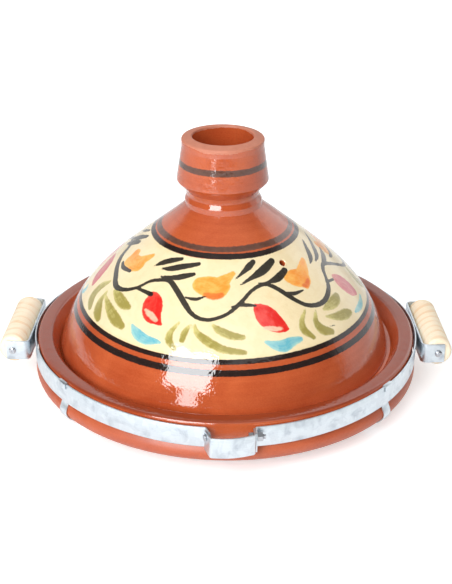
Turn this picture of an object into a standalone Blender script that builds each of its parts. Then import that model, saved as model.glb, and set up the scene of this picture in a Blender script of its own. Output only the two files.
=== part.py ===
"""A glazed clay tagine: a dish and a domed lid, carried in a steel band with two wooden grips."""

from math import asin, atan2, cos, pi, radians, sin, sqrt, tan

import bmesh
import bpy
from mathutils import Matrix, Vector
from mathutils.geometry import interpolate_bezier

# Everything is in metres. The dish stands on its two straps, whose undersides are at z = 0.
# +X points to the right, and -Y to the front, where the band is clamped.

# Clearances
SEAT_GAP = 0.0003
LID_PLAY = 0.0018

# Dish
RIM_RADIUS = 0.1700
RIM_WIDTH = 0.0126
RIM_OUTER_ROUND = 0.0030
RIM_INNER_ROUND = 0.0035
DISH_HEIGHT = 0.0500
DISH_FLOOR = 0.0100
WALL_HEIGHT = 0.0220
WALL_BULGE = 0.0085
WALL_BULGE_AT = 0.46
HEEL_TUCK_AT = 0.33
HEEL_RADIUS = 0.1500
HEEL_RISE = 0.0040
FOOT_RADIUS = 0.1220
FOOT_WIDTH = 0.0240
FOOT_HOLLOW = 0.0020
FOOT_ROUND = 0.0020
FOOT_INNER_ROUND = 0.0010
BOWL_FLOOR_RADIUS = 0.1120
BOWL_ROUND = 0.0240
LEDGE_DROP = 0.0125
LEDGE_WIDTH = 0.0115
LEDGE_EDGE_ROUND = 0.0030
LEDGE_CORNER_ROUND = 0.0012

# Lid
LID_RADIUS = 0.1486
LID_WALL = 0.0085
LID_HEIGHT = 0.1932
LID_EDGE_ROUND = 0.0015
DOME_HEIGHT = 0.1315
DOME_FLARE = 0.0154
DOME_FLARE_HEIGHT = 0.0549
DOME_SHOULDER = 0.0667
DOME_SHOULDER_DROP = 0.0559
CROWN_RISE = 0.0020
COLLAR_RADIUS = 0.0335
COLLAR_HEIGHT = 0.0050
COLLAR_ROUND = 0.0008
GROOVE_RADIUS = 0.0313
GROOVE_HEIGHT = 0.0092
GROOVE_ROUND = 0.0030
GROOVE_FLARE = 0.0012
KNOB_LIP_RADIUS = 0.0400
KNOB_LIP_HEIGHT = 0.0085
KNOB_LIP_ROUND = 0.0020
KNOB_TOP_RADIUS = 0.0356
KNOB_TOP_LENGTH = 0.0070
KNOB_TOP_SLOPE = 0.0025
KNOB_TOP_ROUND = 0.0060
KNOB_EDGE_ROUND = 0.0012
KNOB_WALL = 0.0091
CUP_DEPTH = 0.0380
CUP_TAPER = 0.0030
CUP_ROUND = 0.0050
CUP_EDGE_ROUND = 0.0010
STEAM_HOLE_RADIUS = 0.0025
STEAM_HOLE_HEIGHT = 0.0980
STEAM_HOLE_TURN = radians(42)

# Band and straps
BAND_HEIGHT = 0.0180
BAND_DROP = 0.0012
BAND_THICKNESS = 0.0012
STRAP_WIDTH = 0.0100
STRAP_THICKNESS = 0.0010
STRAP_TAB = 0.0050
STRAP_ROUND = 0.0011
STRAP_EASE = 0.0010
STRAP_ANGLE = radians(38)
STRAP_JOG_START = 0.0240
STRAP_JOG_END = 0.0150

# Clasp
CLASP_TURN = radians(1.5)
CLASP_HALF_GAP = 0.0197
CLASP_STANDOFF = 0.0131
CLASP_SKEW = 0.0011
CLASP_SAG = 0.0019
CLASP_SAG_END = radians(45)
LEFT_EAR_LEAN = radians(19)
RIGHT_EAR_LEAN = radians(4)
EAR_LENGTH = 0.0098
EAR_BEND = 0.0020
BRIDGE_THICKNESS = 0.0012
BRIDGE_BEND = 0.0025
BRIDGE_BOW = 0.0028
BRIDGE_FOOT = 0.0008
BRIDGE_SLANT = 0.045
HOLE_CUT = 0.0100
BOLT_RADIUS = 0.0020
BOLT_ALONG_EAR = 0.0059
BOLT_LENGTH = 0.0100
CLASP_PIN_RISE = 0.0035
CLASP_RIVET_HEAD_RADIUS = 0.0028
CLASP_RIVET_HEAD_HEIGHT = 0.0014
BOLT_HEAD_HEIGHT = 0.0035
HEX_WIDTH = 0.0070
NUT_HEIGHT = 0.0040

# Handles
HANDLE_TURN = radians(2.5)
GRIP_RADIUS = 0.0122
GRIP_LENGTH = 0.0840
GRIP_ROUND = 0.0035
GRIP_CLEAR = 0.0016
BRACKET_THICKNESS = 0.0015
BRACKET_BEND = 0.0045
BRACKET_LEG_END = 0.0055
SCREW_RADIUS = 0.0020
SCREW_LENGTH = 0.0200
SCREW_HEAD_RADIUS = 0.0032
SCREW_HEAD_HEIGHT = 0.0016
SCREW_HEAD_ROUND = 0.0009
SCREW_POINT = 0.0020
RIVET_RADIUS = 0.0020
RIVET_HEAD_RADIUS = 0.0036
RIVET_TAIL_RADIUS = 0.0030
RIVET_HEAD_HEIGHT = 0.0008
RIVET_TAIL_HEIGHT = 0.0007
RIVET_OFFSET = 0.0080
RIVET_HEAD_ROUND = 0.0005
RIVET_CUT = 0.0160

# How finely round shapes are divided
TURN_STEPS = 52
BAND_STEPS = 88
GRIP_STEPS = 24
SMALL_STEPS = 12
DOME_STEPS = 11
CURVE_STEPS = 7
CORNER_STEPS = 2
HOLE_STEPS = 16
BOW_STEPS = 4
SHARP_ANGLE = radians(35)

# How outlines are worked
CORNER_SHARE = 0.48
NEARLY_STRAIGHT = 0.01
MERGE_DISTANCE = 0.00001

# Places that follow from the sizes above
FOOT_Z = STRAP_THICKNESS + SEAT_GAP
RIM_Z = FOOT_Z + DISH_HEIGHT
LEDGE_Z = RIM_Z - LEDGE_DROP
LID_Z = LEDGE_Z + SEAT_GAP
BAND_Z = RIM_Z - BAND_DROP - BAND_HEIGHT / 2
BAND_INNER = RIM_RADIUS + SEAT_GAP + STRAP_THICKNESS + SEAT_GAP
BAND_OUTER = BAND_INNER + BAND_THICKNESS
BAND_MIDDLE = BAND_INNER + BAND_THICKNESS / 2
WEB_INNER = BAND_OUTER + SEAT_GAP
WEB_OUTER = WEB_INNER + BRACKET_THICKNESS
GRIP_AXIS = WEB_OUTER + GRIP_CLEAR + GRIP_RADIUS
LEG_INNER = GRIP_LENGTH / 2 + SEAT_GAP
LEG_OUTER = LEG_INNER + BRACKET_THICKNESS

CLAY = ("glazed_clay", (0.53, 0.14, 0.05), 0.15, 0.0)
STEEL = ("galvanised_steel", (0.72, 0.75, 0.77), 0.32, 0.9)
ZINC = ("zinc_plated_steel", (0.55, 0.57, 0.58), 0.3, 1.0)
WOOD = ("pine", (0.87, 0.68, 0.42), 0.6, 0.0)


def clear_scene():
    for thing in list(bpy.data.objects):
        bpy.data.objects.remove(thing, do_unlink=True)


def new_collection(name):
    made = bpy.data.collections.new(name)
    bpy.context.scene.collection.children.link(made)
    return made


clear_scene()
PARTS = new_collection("tagine")
CUTTERS = new_collection("cutters")


def material_for(name, finish):
    """A material of its own for one piece."""
    kind, colour, roughness, metallic = finish
    made = bpy.data.materials.new(f"{name}_{kind}")
    made.use_nodes = True
    shader = made.node_tree.nodes["Principled BSDF"]
    shader.inputs["Base Color"].default_value = (*colour, 1.0)
    shader.inputs["Roughness"].default_value = roughness
    shader.inputs["Metallic"].default_value = metallic
    made.diffuse_color = (*colour, 1.0)
    return made


def part_object(name, mesh, finish):
    made = bpy.data.objects.new(name, mesh)
    PARTS.objects.link(made)
    mesh.materials.append(material_for(name, finish))
    return made


def rounded(corners, steps=CORNER_STEPS):
    """The points of an open outline whose corners (x, y, radius) are rounded."""
    points = [Vector(corners[0][:2])]
    for before, corner, after in zip(corners, corners[1:], corners[2:]):
        here = Vector(corner[:2])
        back = Vector(before[:2]) - here
        ahead = Vector(after[:2]) - here
        half = back.angle(ahead) / 2
        if corner[2] == 0 or half > pi / 2 - NEARLY_STRAIGHT:
            points.append(here)
            continue
        reach = min(corner[2] / tan(half), CORNER_SHARE * back.length, CORNER_SHARE * ahead.length)
        radius = reach * tan(half)
        start = here + back.normalized() * reach
        end = here + ahead.normalized() * reach
        centre = here + (back.normalized() + ahead.normalized()).normalized() * radius / sin(half)
        sweep = (start - centre).angle_signed(end - centre)
        for step in range(steps + 1):
            turn = Matrix.Rotation(-sweep * step / steps, 2)
            points.append(centre + turn @ (start - centre))
    points.append(Vector(corners[-1][:2]))
    return points


def bezier(start, pull, push, end, steps=CURVE_STEPS):
    """The points of a smooth curve between two points."""
    knots = [Vector((*p, 0)) for p in (start, pull, push, end)]
    return [p.to_2d() for p in interpolate_bezier(*knots, steps + 1)]


def offset_path(points, distance):
    """A path moved sideways, to the left of its direction, by a distance."""
    moved = []
    for index, point in enumerate(points):
        into = (point - points[index - 1]).normalized() if index else None
        onward = (points[index + 1] - point).normalized() if index + 1 < len(points) else None
        into = into or onward
        onward = onward or into
        left_in = Vector((-into.y, into.x))
        left_on = Vector((-onward.y, onward.x))
        middle = (left_in + left_on).normalized()
        moved.append(point + middle * distance / middle.dot(left_in))
    return moved


def turned(name, profile, finish, steps):
    """A turned piece, from a profile that starts on the axis, runs down its outside and ends there."""
    mesh = bpy.data.meshes.new(name)
    edges = [(index, index + 1) for index in range(len(profile) - 1)]
    mesh.from_pydata([(x, 0, z) for x, z in profile], edges, [])
    made = part_object(name, mesh, finish)
    screw = made.modifiers.new("turn", "SCREW")
    screw.axis = "Z"
    screw.angle = 2 * pi
    screw.steps = steps
    screw.render_steps = steps
    screw.use_merge_vertices = True
    screw.merge_threshold = MERGE_DISTANCE
    return made


def ribbon(name, path, width, thickness, finish, rises=None):
    """A bent strip: a path in its own XY plane, as wide as stated along Z, each point raised by its rise."""
    shape = bmesh.new()
    rises = rises or [0] * len(path)
    low = [shape.verts.new((*point, rise - width / 2)) for point, rise in zip(path, rises)]
    high = [shape.verts.new((*point, rise + width / 2)) for point, rise in zip(path, rises)]
    for index in range(len(path) - 1):
        shape.faces.new((low[index], low[index + 1], high[index + 1], high[index]))
    mesh = bpy.data.meshes.new(name)
    shape.to_mesh(mesh)
    shape.free()
    made = part_object(name, mesh, finish)
    skin = made.modifiers.new("thickness", "SOLIDIFY")
    skin.thickness = thickness
    skin.offset = 0
    skin.use_even_offset = True
    return made


def cylinder(name, radius, length, place, sides=SMALL_STEPS):
    """A cylinder or prism along its own Z, centred on its origin, kept out of the parts."""
    shape = bmesh.new()
    bmesh.ops.create_cone(
        shape,
        cap_ends=True,
        segments=sides,
        radius1=radius,
        radius2=radius,
        depth=length,
    )
    mesh = bpy.data.meshes.new(name)
    shape.to_mesh(mesh)
    shape.free()
    made = bpy.data.objects.new(name, mesh)
    made.matrix_world = place
    made.hide_render = True
    made.display_type = "WIRE"
    CUTTERS.objects.link(made)
    return made


def combine(target, tool, operation):
    step = target.modifiers.new(tool.name, "BOOLEAN")
    step.operation = operation
    step.solver = "EXACT"
    step.object = tool


def aimed(point, direction):
    """A place whose own Z runs along a direction."""
    return Matrix.Translation(point) @ direction.to_track_quat("Z", "Y").to_matrix().to_4x4()


def smooth_round(made):
    """Shades the curved faces smooth and keeps the edges crisp."""
    made.data.shade_smooth()
    made.data.set_sharp_from_angle(angle=SHARP_ANGLE)


def dish_outside():
    """The dish's outer side from the rim's top edge down to the heel and the foot, as (radius, height)."""
    wall_end = RIM_Z - WALL_HEIGHT
    heel = (HEEL_RADIUS, FOOT_Z + HEEL_RISE)
    return bezier(
        (RIM_RADIUS, wall_end),
        (RIM_RADIUS + WALL_BULGE, wall_end - (wall_end - heel[1]) * WALL_BULGE_AT),
        (RIM_RADIUS - WALL_BULGE / 4, heel[1] + (wall_end - heel[1]) * HEEL_TUCK_AT),
        heel,
    )


def make_dish():
    bore = RIM_RADIUS - RIM_WIDTH
    floor = FOOT_Z + FOOT_HOLLOW + DISH_FLOOR
    ledge_outer = LID_RADIUS + LID_PLAY
    hollow = FOOT_Z + FOOT_HOLLOW
    inside = rounded([
        (0, floor, 0),
        (BOWL_FLOOR_RADIUS, floor, BOWL_ROUND),
        (ledge_outer - LEDGE_WIDTH, LEDGE_Z, LEDGE_EDGE_ROUND),
        (ledge_outer, LEDGE_Z, LEDGE_CORNER_ROUND),
        (bore, RIM_Z, RIM_INNER_ROUND),
        (RIM_RADIUS, RIM_Z, RIM_OUTER_ROUND),
        (RIM_RADIUS, RIM_Z - WALL_HEIGHT, 0),
    ])
    foot = rounded([
        (HEEL_RADIUS, FOOT_Z + HEEL_RISE, 0),
        (FOOT_RADIUS, FOOT_Z, FOOT_ROUND),
        (FOOT_RADIUS - FOOT_WIDTH, FOOT_Z, FOOT_INNER_ROUND),
        (FOOT_RADIUS - FOOT_WIDTH - FOOT_HOLLOW, hollow, FOOT_INNER_ROUND),
        (0, hollow, 0),
    ])
    dish = turned("dish", inside[:-1] + dish_outside() + foot[1:], CLAY, TURN_STEPS)
    smooth_round(dish)


def dome_outside():
    """The dome from the collar's foot down to the lid's edge, as (radius, height above the lid's edge)."""
    return bezier(
        (COLLAR_RADIUS, DOME_HEIGHT),
        (COLLAR_RADIUS + DOME_SHOULDER, DOME_HEIGHT - DOME_SHOULDER_DROP),
        (LID_RADIUS - DOME_FLARE, LID_EDGE_ROUND + DOME_FLARE_HEIGHT),
        (LID_RADIUS, LID_EDGE_ROUND),
        steps=DOME_STEPS,
    )


def dome_inside():
    """The dome's inner side from the lid's edge up to the neck, one wall inside the outer side."""
    wall = offset_path(dome_outside(), -LID_WALL)
    inner = [point for point in reversed(wall) if point.x > GROOVE_RADIUS - LID_WALL]
    return inner[1:]


def make_lid():
    collar_top = DOME_HEIGHT + COLLAR_HEIGHT
    lip = collar_top + GROOVE_HEIGHT + KNOB_LIP_HEIGHT
    cup_floor = LID_HEIGHT - CUP_DEPTH
    bore = KNOB_TOP_RADIUS - KNOB_WALL
    knob = rounded([
        (0, cup_floor, 0),
        (bore - CUP_TAPER, cup_floor, CUP_ROUND),
        (bore, LID_HEIGHT, CUP_EDGE_ROUND),
        (KNOB_TOP_RADIUS, LID_HEIGHT - KNOB_TOP_SLOPE, KNOB_EDGE_ROUND),
        (KNOB_TOP_RADIUS, LID_HEIGHT - KNOB_TOP_SLOPE - KNOB_TOP_LENGTH, KNOB_TOP_ROUND),
        (KNOB_LIP_RADIUS, lip, KNOB_LIP_ROUND),
        (GROOVE_RADIUS + GROOVE_FLARE, lip - KNOB_LIP_HEIGHT, GROOVE_FLARE),
        (GROOVE_RADIUS, collar_top + GROOVE_HEIGHT / 2, GROOVE_ROUND),
        (COLLAR_RADIUS, collar_top, COLLAR_ROUND),
        (COLLAR_RADIUS, DOME_HEIGHT, 0),
    ])
    outer = dome_outside()
    inner = dome_inside()
    edge = rounded([
        outer[-1][:] + (0,),
        (LID_RADIUS, 0, LID_EDGE_ROUND),
        (inner[0].x, 0, LID_EDGE_ROUND),
        inner[0][:] + (0,),
    ])
    crown = [Vector((0, inner[-1].y + CROWN_RISE))]
    profile = knob[:-1] + outer[:-1] + edge[:-1] + inner + crown
    lid = turned("lid", profile, CLAY, TURN_STEPS)
    lid.location.z = LID_Z
    drill_steam_hole(lid, outer)
    smooth_round(lid)


def drill_steam_hole(lid, outer):
    """A small hole square to the dome's wall, a little below its shoulder."""
    above = min(outer, key=lambda point: abs(point.y - STEAM_HOLE_HEIGHT))
    index = outer.index(above)
    slope = (outer[index + 1] - outer[index - 1]).normalized()
    radius = above.x + (STEAM_HOLE_HEIGHT - above.y) * slope.x / slope.y
    normal = Vector((-slope.y, slope.x))
    heading = Matrix.Rotation(STEAM_HOLE_TURN, 4, "Z")
    point = heading @ Vector((0, -radius, LID_Z + STEAM_HOLE_HEIGHT))
    direction = heading @ Vector((0, -normal.x, normal.y))
    place = aimed(point, direction)
    combine(lid, cylinder("steam_hole", STEAM_HOLE_RADIUS, 4 * LID_WALL, place, HOLE_STEPS), "DIFFERENCE")


def clasp_frame():
    """On the dish's axis at the clasp's height: X points outward, Y to the right along the band."""
    return Matrix.Translation((0, 0, BAND_Z - CLASP_SAG)) @ Matrix.Rotation(CLASP_TURN - pi / 2, 4, "Z")


def ear_root(side):
    """Where an ear leaves the band's round, in the clasp's frame. Side is -1 left and 1 right."""
    return Vector((sqrt(BAND_MIDDLE**2 - CLASP_HALF_GAP**2), side * CLASP_HALF_GAP))


def ear_direction(side):
    lean = LEFT_EAR_LEAN if side < 0 else RIGHT_EAR_LEAN
    return Vector((cos(lean), sin(lean)))


def ear_away(side):
    """Square to an ear, away from the clasp's middle."""
    along = ear_direction(side)
    return Vector((-along.y, along.x)) * side


def make_band():
    half = asin(CLASP_HALF_GAP / BAND_MIDDLE)
    sweep = 2 * pi - 2 * half
    corners = []
    for side in (1, -1):
        tip = ear_root(side) + ear_direction(side) * EAR_LENGTH
        corners.append([(*tip, 0), (*ear_root(side), EAR_BEND)])
    ring = []
    for step in range(1, BAND_STEPS):
        turn = half + sweep * step / BAND_STEPS
        ring.append((BAND_MIDDLE * cos(turn), BAND_MIDDLE * sin(turn), 0))
    path = rounded(corners[0] + ring + corners[1][::-1])
    rises = []
    for point in path:
        turn = abs(atan2(point.y, point.x))
        share = min(1, max(0, (turn - half) / (CLASP_SAG_END - half)))
        rises.append(CLASP_SAG * (1 - cos(pi * share)) / 2)
    band = ribbon("band", path, BAND_HEIGHT, BAND_THICKNESS, STEEL, rises)
    band.matrix_world = clasp_frame()
    smooth_round(band)
    return band


def make_bridge():
    """The strip that joins the ears. Its left leg lies outside its ear and its right leg inside."""
    leg_inset = BAND_THICKNESS / 2 + SEAT_GAP + BRIDGE_THICKNESS / 2
    legs = []
    for side in (-1, 1):
        plate_out = BAND_OUTER + CLASP_STANDOFF - side * CLASP_SKEW - BRIDGE_THICKNESS / 2
        along = ear_direction(side)
        line = ear_root(side) - ear_away(side) * side * leg_inset
        foot = line + along * (BAND_OUTER + BRIDGE_FOOT - line.x) / along.x
        corner = line + along * (plate_out - line.x) / along.x
        legs.append((foot, corner))
    (left_foot, left_corner), (right_foot, right_corner) = legs
    plate = []
    for step in range(1, BOW_STEPS):
        share = step / BOW_STEPS
        place = left_corner.lerp(right_corner, share)
        plate.append((place.x + BRIDGE_BOW * sin(pi * share), place.y, 0))
    path = rounded([
        (*left_foot, 0),
        (*left_corner, BRIDGE_BEND),
        *plate,
        (*right_corner, BRIDGE_BEND),
        (*right_foot, 0),
    ])
    rises = [BRIDGE_SLANT * point.y for point in path]
    bridge = ribbon("clasp_bridge", path, BAND_HEIGHT, BRIDGE_THICKNESS, STEEL, rises)
    bridge.matrix_world = clasp_frame()
    smooth_round(bridge)
    return bridge


def hex_radius():
    """From a hexagon's middle to its corners."""
    return HEX_WIDTH / sqrt(3)


def make_bolt(name, seat, toward_head):
    """A hex-headed bolt whose head's underside is at the seat."""
    shank = Matrix.Translation((0, 0, -BOLT_LENGTH / 2))
    place = aimed(seat, toward_head)
    made = part_object(name, bpy.data.meshes.new(name), ZINC)
    shape = bmesh.new()
    bmesh.ops.create_cone(
        shape,
        cap_ends=True,
        segments=6,
        radius1=hex_radius(),
        radius2=hex_radius(),
        depth=BOLT_HEAD_HEIGHT,
        matrix=Matrix.Translation((0, 0, BOLT_HEAD_HEIGHT / 2)),
    )
    shape.to_mesh(made.data)
    shape.free()
    made.matrix_world = place
    overlap = Matrix.Translation((0, 0, BOLT_HEAD_HEIGHT / 4))
    tool = cylinder(f"{name}_shank", BOLT_RADIUS, BOLT_LENGTH + BOLT_HEAD_HEIGHT / 2, place @ shank @ overlap)
    combine(made, tool, "UNION")
    return made


def make_nut(name, seat, away):
    """A hexagonal nut that lies on its seat."""
    made = part_object(name, bpy.data.meshes.new(name), ZINC)
    shape = bmesh.new()
    bmesh.ops.create_cone(
        shape,
        cap_ends=True,
        segments=6,
        radius1=hex_radius(),
        radius2=hex_radius(),
        depth=NUT_HEIGHT,
        matrix=Matrix.Translation((0, 0, NUT_HEIGHT / 2)),
    )
    shape.to_mesh(made.data)
    shape.free()
    made.matrix_world = aimed(seat, away)
    bore = cylinder(f"{name}_bore", BOLT_RADIUS + SEAT_GAP, 4 * NUT_HEIGHT, made.matrix_world)
    combine(made, bore, "DIFFERENCE")


def rivet_at(name, place, outside, inside, head_radius, head_height, finish):
    """A rivet along its own Z: its head starts at the height outside, its tail ends at the height inside."""
    profile = rounded([
        (0, outside + head_height, 0),
        (head_radius, outside + head_height, RIVET_HEAD_ROUND),
        (head_radius, outside, 0),
        (RIVET_RADIUS, outside, 0),
        (RIVET_RADIUS, inside, 0),
        (RIVET_TAIL_RADIUS, inside, 0),
        (RIVET_TAIL_RADIUS, inside - RIVET_TAIL_HEIGHT, 0),
        (0, inside - RIVET_TAIL_HEIGHT, 0),
    ])
    rivet = turned(name, profile, finish, SMALL_STEPS)
    rivet.matrix_world = place
    smooth_round(rivet)


def make_clasp(band):
    bridge = make_bridge()
    frame = clasp_frame()
    near = BAND_THICKNESS / 2 + SEAT_GAP
    far = near + BRIDGE_THICKNESS + SEAT_GAP
    for side, label, radius in ((-1, "left", RIVET_RADIUS), (1, "right", BOLT_RADIUS)):
        middle = ear_root(side) + ear_direction(side) * BOLT_ALONG_EAR
        point = frame @ Vector((*middle, CLASP_PIN_RISE))
        away = frame.to_3x3() @ Vector((*ear_away(side), 0))
        if side < 0:
            head = (CLASP_RIVET_HEAD_RADIUS, CLASP_RIVET_HEAD_HEIGHT)
            rivet_at("clasp_rivet", aimed(point, away), far, -near, *head, ZINC)
        else:
            make_bolt("clasp_bolt", point - away * far, -away)
            make_nut("clasp_nut", point + away * near, away)
        hole = cylinder(f"clasp_hole_{label}", radius + SEAT_GAP, HOLE_CUT, aimed(point, away))
        combine(band, hole, "DIFFERENCE")
        combine(bridge, hole, "DIFFERENCE")


def strap_half(lift):
    """Half of a strap's middle line, from the tab outside the band down and under to the middle."""
    inset = SEAT_GAP + STRAP_THICKNESS / 2
    band_top = BAND_Z + BAND_HEIGHT / 2
    hook_top = band_top + inset
    tab = BAND_OUTER + inset
    under = dish_outside() + [Vector((FOOT_RADIUS, FOOT_Z)), Vector((0, FOOT_Z))]
    below = offset_path(under, inset)[:-1]
    hook = rounded([
        (tab, band_top - STRAP_TAB, 0),
        (tab, hook_top, STRAP_ROUND),
        (RIM_RADIUS + inset, hook_top, STRAP_ROUND),
        (RIM_RADIUS + inset, below[0].y + STRAP_EASE, 0),
    ])
    floor = FOOT_Z - inset
    middle = [
        Vector((STRAP_JOG_START, floor)),
        Vector((STRAP_JOG_END, floor + lift)),
    ]
    return hook + below[1:] + (middle if lift else [])


def make_strap(name, angle, lift):
    """A strap that runs under the dish and hooks over the band at both ends."""
    half = strap_half(lift)
    other = [Vector((-point.x, point.y)) for point in reversed(half)]
    strap = ribbon(name, half + other, STRAP_WIDTH, STRAP_THICKNESS, STEEL)
    strap.matrix_world = Matrix.Rotation(angle, 4, "Z") @ Matrix.Rotation(pi / 2, 4, "X")
    smooth_round(strap)


def handle_frame(side):
    """At a handle's height on the dish's axis: X points outward. Side is -1 left and 1 right."""
    angle = HANDLE_TURN if side > 0 else pi - HANDLE_TURN
    return Matrix.Translation((0, 0, BAND_Z)) @ Matrix.Rotation(angle, 4, "Z")


def make_bracket(name, frame):
    middle = (WEB_INNER + WEB_OUTER) / 2
    leg = (LEG_INNER + LEG_OUTER) / 2
    tip = GRIP_AXIS + BRACKET_LEG_END
    path = rounded([
        (tip, -leg, 0),
        (middle, -leg, BRACKET_BEND),
        (middle, leg, BRACKET_BEND),
        (tip, leg, 0),
    ])
    bracket = ribbon(name, path, BAND_HEIGHT, BRACKET_THICKNESS, STEEL)
    bracket.matrix_world = frame
    smooth_round(bracket)
    return bracket


def make_grip(name, frame):
    """A wooden dowel along the frame's Y, with a screw hole in each end."""
    end = GRIP_LENGTH / 2
    bore = SCREW_RADIUS + SEAT_GAP
    depth = end - (SCREW_LENGTH - BRACKET_THICKNESS)
    profile = rounded([
        (0, depth, 0),
        (bore, depth, 0),
        (bore, end, 0),
        (GRIP_RADIUS, end, GRIP_ROUND),
        (GRIP_RADIUS, -end, GRIP_ROUND),
        (bore, -end, 0),
        (bore, -depth, 0),
        (0, -depth, 0),
    ])
    grip = turned(name, profile, WOOD, GRIP_STEPS)
    grip.matrix_world = frame @ Matrix.Translation((GRIP_AXIS, 0, 0)) @ Matrix.Rotation(pi / 2, 4, "X")
    smooth_round(grip)


def make_screw(name, seat, toward_head):
    profile = rounded([
        (0, SCREW_HEAD_HEIGHT, 0),
        (SCREW_HEAD_RADIUS, SCREW_HEAD_HEIGHT, SCREW_HEAD_ROUND),
        (SCREW_HEAD_RADIUS, 0, 0),
        (SCREW_RADIUS, 0, 0),
        (SCREW_RADIUS, SCREW_POINT - SCREW_LENGTH, 0),
        (0, -SCREW_LENGTH, 0),
    ])
    screw = turned(name, profile, ZINC, SMALL_STEPS)
    screw.matrix_world = aimed(seat, toward_head)
    smooth_round(screw)


def make_rivet(name, frame, along):
    """A rivet through the bracket's web and the band, with its head outside."""
    inside = sqrt(BAND_INNER**2 - (RIVET_OFFSET + RIVET_TAIL_RADIUS) ** 2) - SEAT_GAP
    place = frame @ Matrix.Translation((0, along, 0)) @ Matrix.Rotation(pi / 2, 4, "Y")
    rivet_at(name, place, WEB_OUTER + SEAT_GAP, inside, RIVET_HEAD_RADIUS, RIVET_HEAD_HEIGHT, STEEL)


def make_handle(side, label, band):
    frame = handle_frame(side)
    bracket = make_bracket(f"{label}_bracket", frame)
    make_grip(f"{label}_grip", frame)
    outward = (frame.to_3x3() @ Vector((0, 1, 0))) * side
    for end, place in ((-1, "front"), (1, "rear")):
        along = end * side
        seat = frame @ Vector((GRIP_AXIS, along * (LEG_OUTER + SEAT_GAP), 0))
        make_screw(f"{label}_{place}_screw", seat, outward * end)
        leg = aimed(frame @ Vector((GRIP_AXIS, along * LEG_INNER, 0)), outward)
        hole = cylinder(f"{label}_{place}_hole", SCREW_RADIUS + SEAT_GAP, HOLE_CUT, leg)
        combine(bracket, hole, "DIFFERENCE")
        make_rivet(f"{label}_{place}_rivet", frame, along * RIVET_OFFSET)
        through = frame @ Vector((BAND_OUTER, along * RIVET_OFFSET, 0))
        drilled = cylinder(
            f"{label}_{place}_rivet_hole",
            RIVET_RADIUS + SEAT_GAP,
            RIVET_CUT,
            aimed(through, frame.to_3x3() @ Vector((1, 0, 0))),
        )
        combine(bracket, drilled, "DIFFERENCE")
        combine(band, drilled, "DIFFERENCE")


def main():
    make_dish()
    make_lid()
    band = make_band()
    make_clasp(band)
    make_strap("strap_upper", STRAP_ANGLE, STRAP_THICKNESS + SEAT_GAP)
    make_strap("strap_lower", -STRAP_ANGLE, 0)
    make_handle(-1, "left", band)
    make_handle(1, "right", band)


main()
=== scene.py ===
"""A painted clay tagine, held in its galvanised carrying band with two pine grips."""

from math import asin, atan2, cos, pi, radians, sin, sqrt, tan

import bmesh
import bpy
import numpy as np
from mathutils import Matrix, Vector
from mathutils.geometry import interpolate_bezier


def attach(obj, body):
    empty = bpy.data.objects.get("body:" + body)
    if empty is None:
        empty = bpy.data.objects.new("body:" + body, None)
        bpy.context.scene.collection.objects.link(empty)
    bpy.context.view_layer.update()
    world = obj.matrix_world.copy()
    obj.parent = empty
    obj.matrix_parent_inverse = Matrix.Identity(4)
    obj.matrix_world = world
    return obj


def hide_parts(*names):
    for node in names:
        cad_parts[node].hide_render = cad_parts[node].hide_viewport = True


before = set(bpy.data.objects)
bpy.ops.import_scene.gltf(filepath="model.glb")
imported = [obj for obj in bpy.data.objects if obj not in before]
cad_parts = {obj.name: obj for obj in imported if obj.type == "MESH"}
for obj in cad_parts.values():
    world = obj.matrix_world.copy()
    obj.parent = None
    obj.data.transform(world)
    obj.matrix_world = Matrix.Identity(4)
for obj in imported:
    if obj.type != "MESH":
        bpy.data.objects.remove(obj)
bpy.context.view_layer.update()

# Pieces are shaped in millimetres and brought to metres when they are finished.
# +X is to the right, -Y to the front where the band is clamped, and z = 0 is what the dish stands on.
TO_METRES = 0.001

# Clearance between pieces
GAP = 0.3

# Dish
RIM_RADIUS = 170
RIM_WIDTH = 12.6
RIM_ROUND = 3
RIM_INNER_ROUND = 3.5
DISH_HEIGHT = 50
DISH_FLOOR = 10
WALL_HEIGHT = 22
WALL_BULGE = 8.5
WALL_BULGE_AT = 0.46
HEEL_RADIUS = 150
HEEL_RISE = 4
HEEL_TUCK_AT = 0.33
FOOT_RADIUS = 122
FOOT_WIDTH = 24
FOOT_HOLLOW = 2
FOOT_ROUND = 2
FOOT_INNER_ROUND = 1
BOWL_RADIUS = 112
BOWL_ROUND = 24
LEDGE_DROP = 12.5
LEDGE_WIDTH = 11.5
LEDGE_ROUND = 1.2
LEDGE_EDGE_ROUND = 3
LID_PLAY = 1.8

# Lid
LID_RADIUS = 148.6
LID_WALL = 8.5
LID_HEIGHT = 193.2
LID_EDGE_ROUND = 1.5
DOME_HEIGHT = 131.5
DOME_FLARE = 15.4
DOME_FLARE_HEIGHT = 54.9
DOME_SHOULDER = 66.7
DOME_SHOULDER_DROP = 55.9
CROWN_RISE = 2
COLLAR_RADIUS = 33.5
COLLAR_HEIGHT = 5
COLLAR_ROUND = 0.8
GROOVE_RADIUS = 31.3
GROOVE_HEIGHT = 9.2
GROOVE_ROUND = 3
KNOB_LIP_RADIUS = 40
KNOB_LIP_HEIGHT = 8.5
KNOB_LIP_ROUND = 2.2
KNOB_UNDERCUT = 1.2
KNOB_TOP_RADIUS = 35.6
KNOB_TOP_LENGTH = 7
KNOB_TOP_SLOPE = 2.5
KNOB_TOP_ROUND = 6
KNOB_EDGE_ROUND = 1.6
KNOB_WALL = 9.1
CUP_DEPTH = 38
CUP_TAPER = 3
CUP_ROUND = 5
HOLE_RADIUS = 2.7
HOLE_HEIGHT = 99.2
HOLE_TURN = radians(42)
# The steam hole's soft edge, as (how much wider than the hole, height above the dome)
HOLE_EDGE = [(2.2, 3), (0.9, 0.05), (0.3, -0.5), (0, -1.3), (0, -14)]

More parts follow.
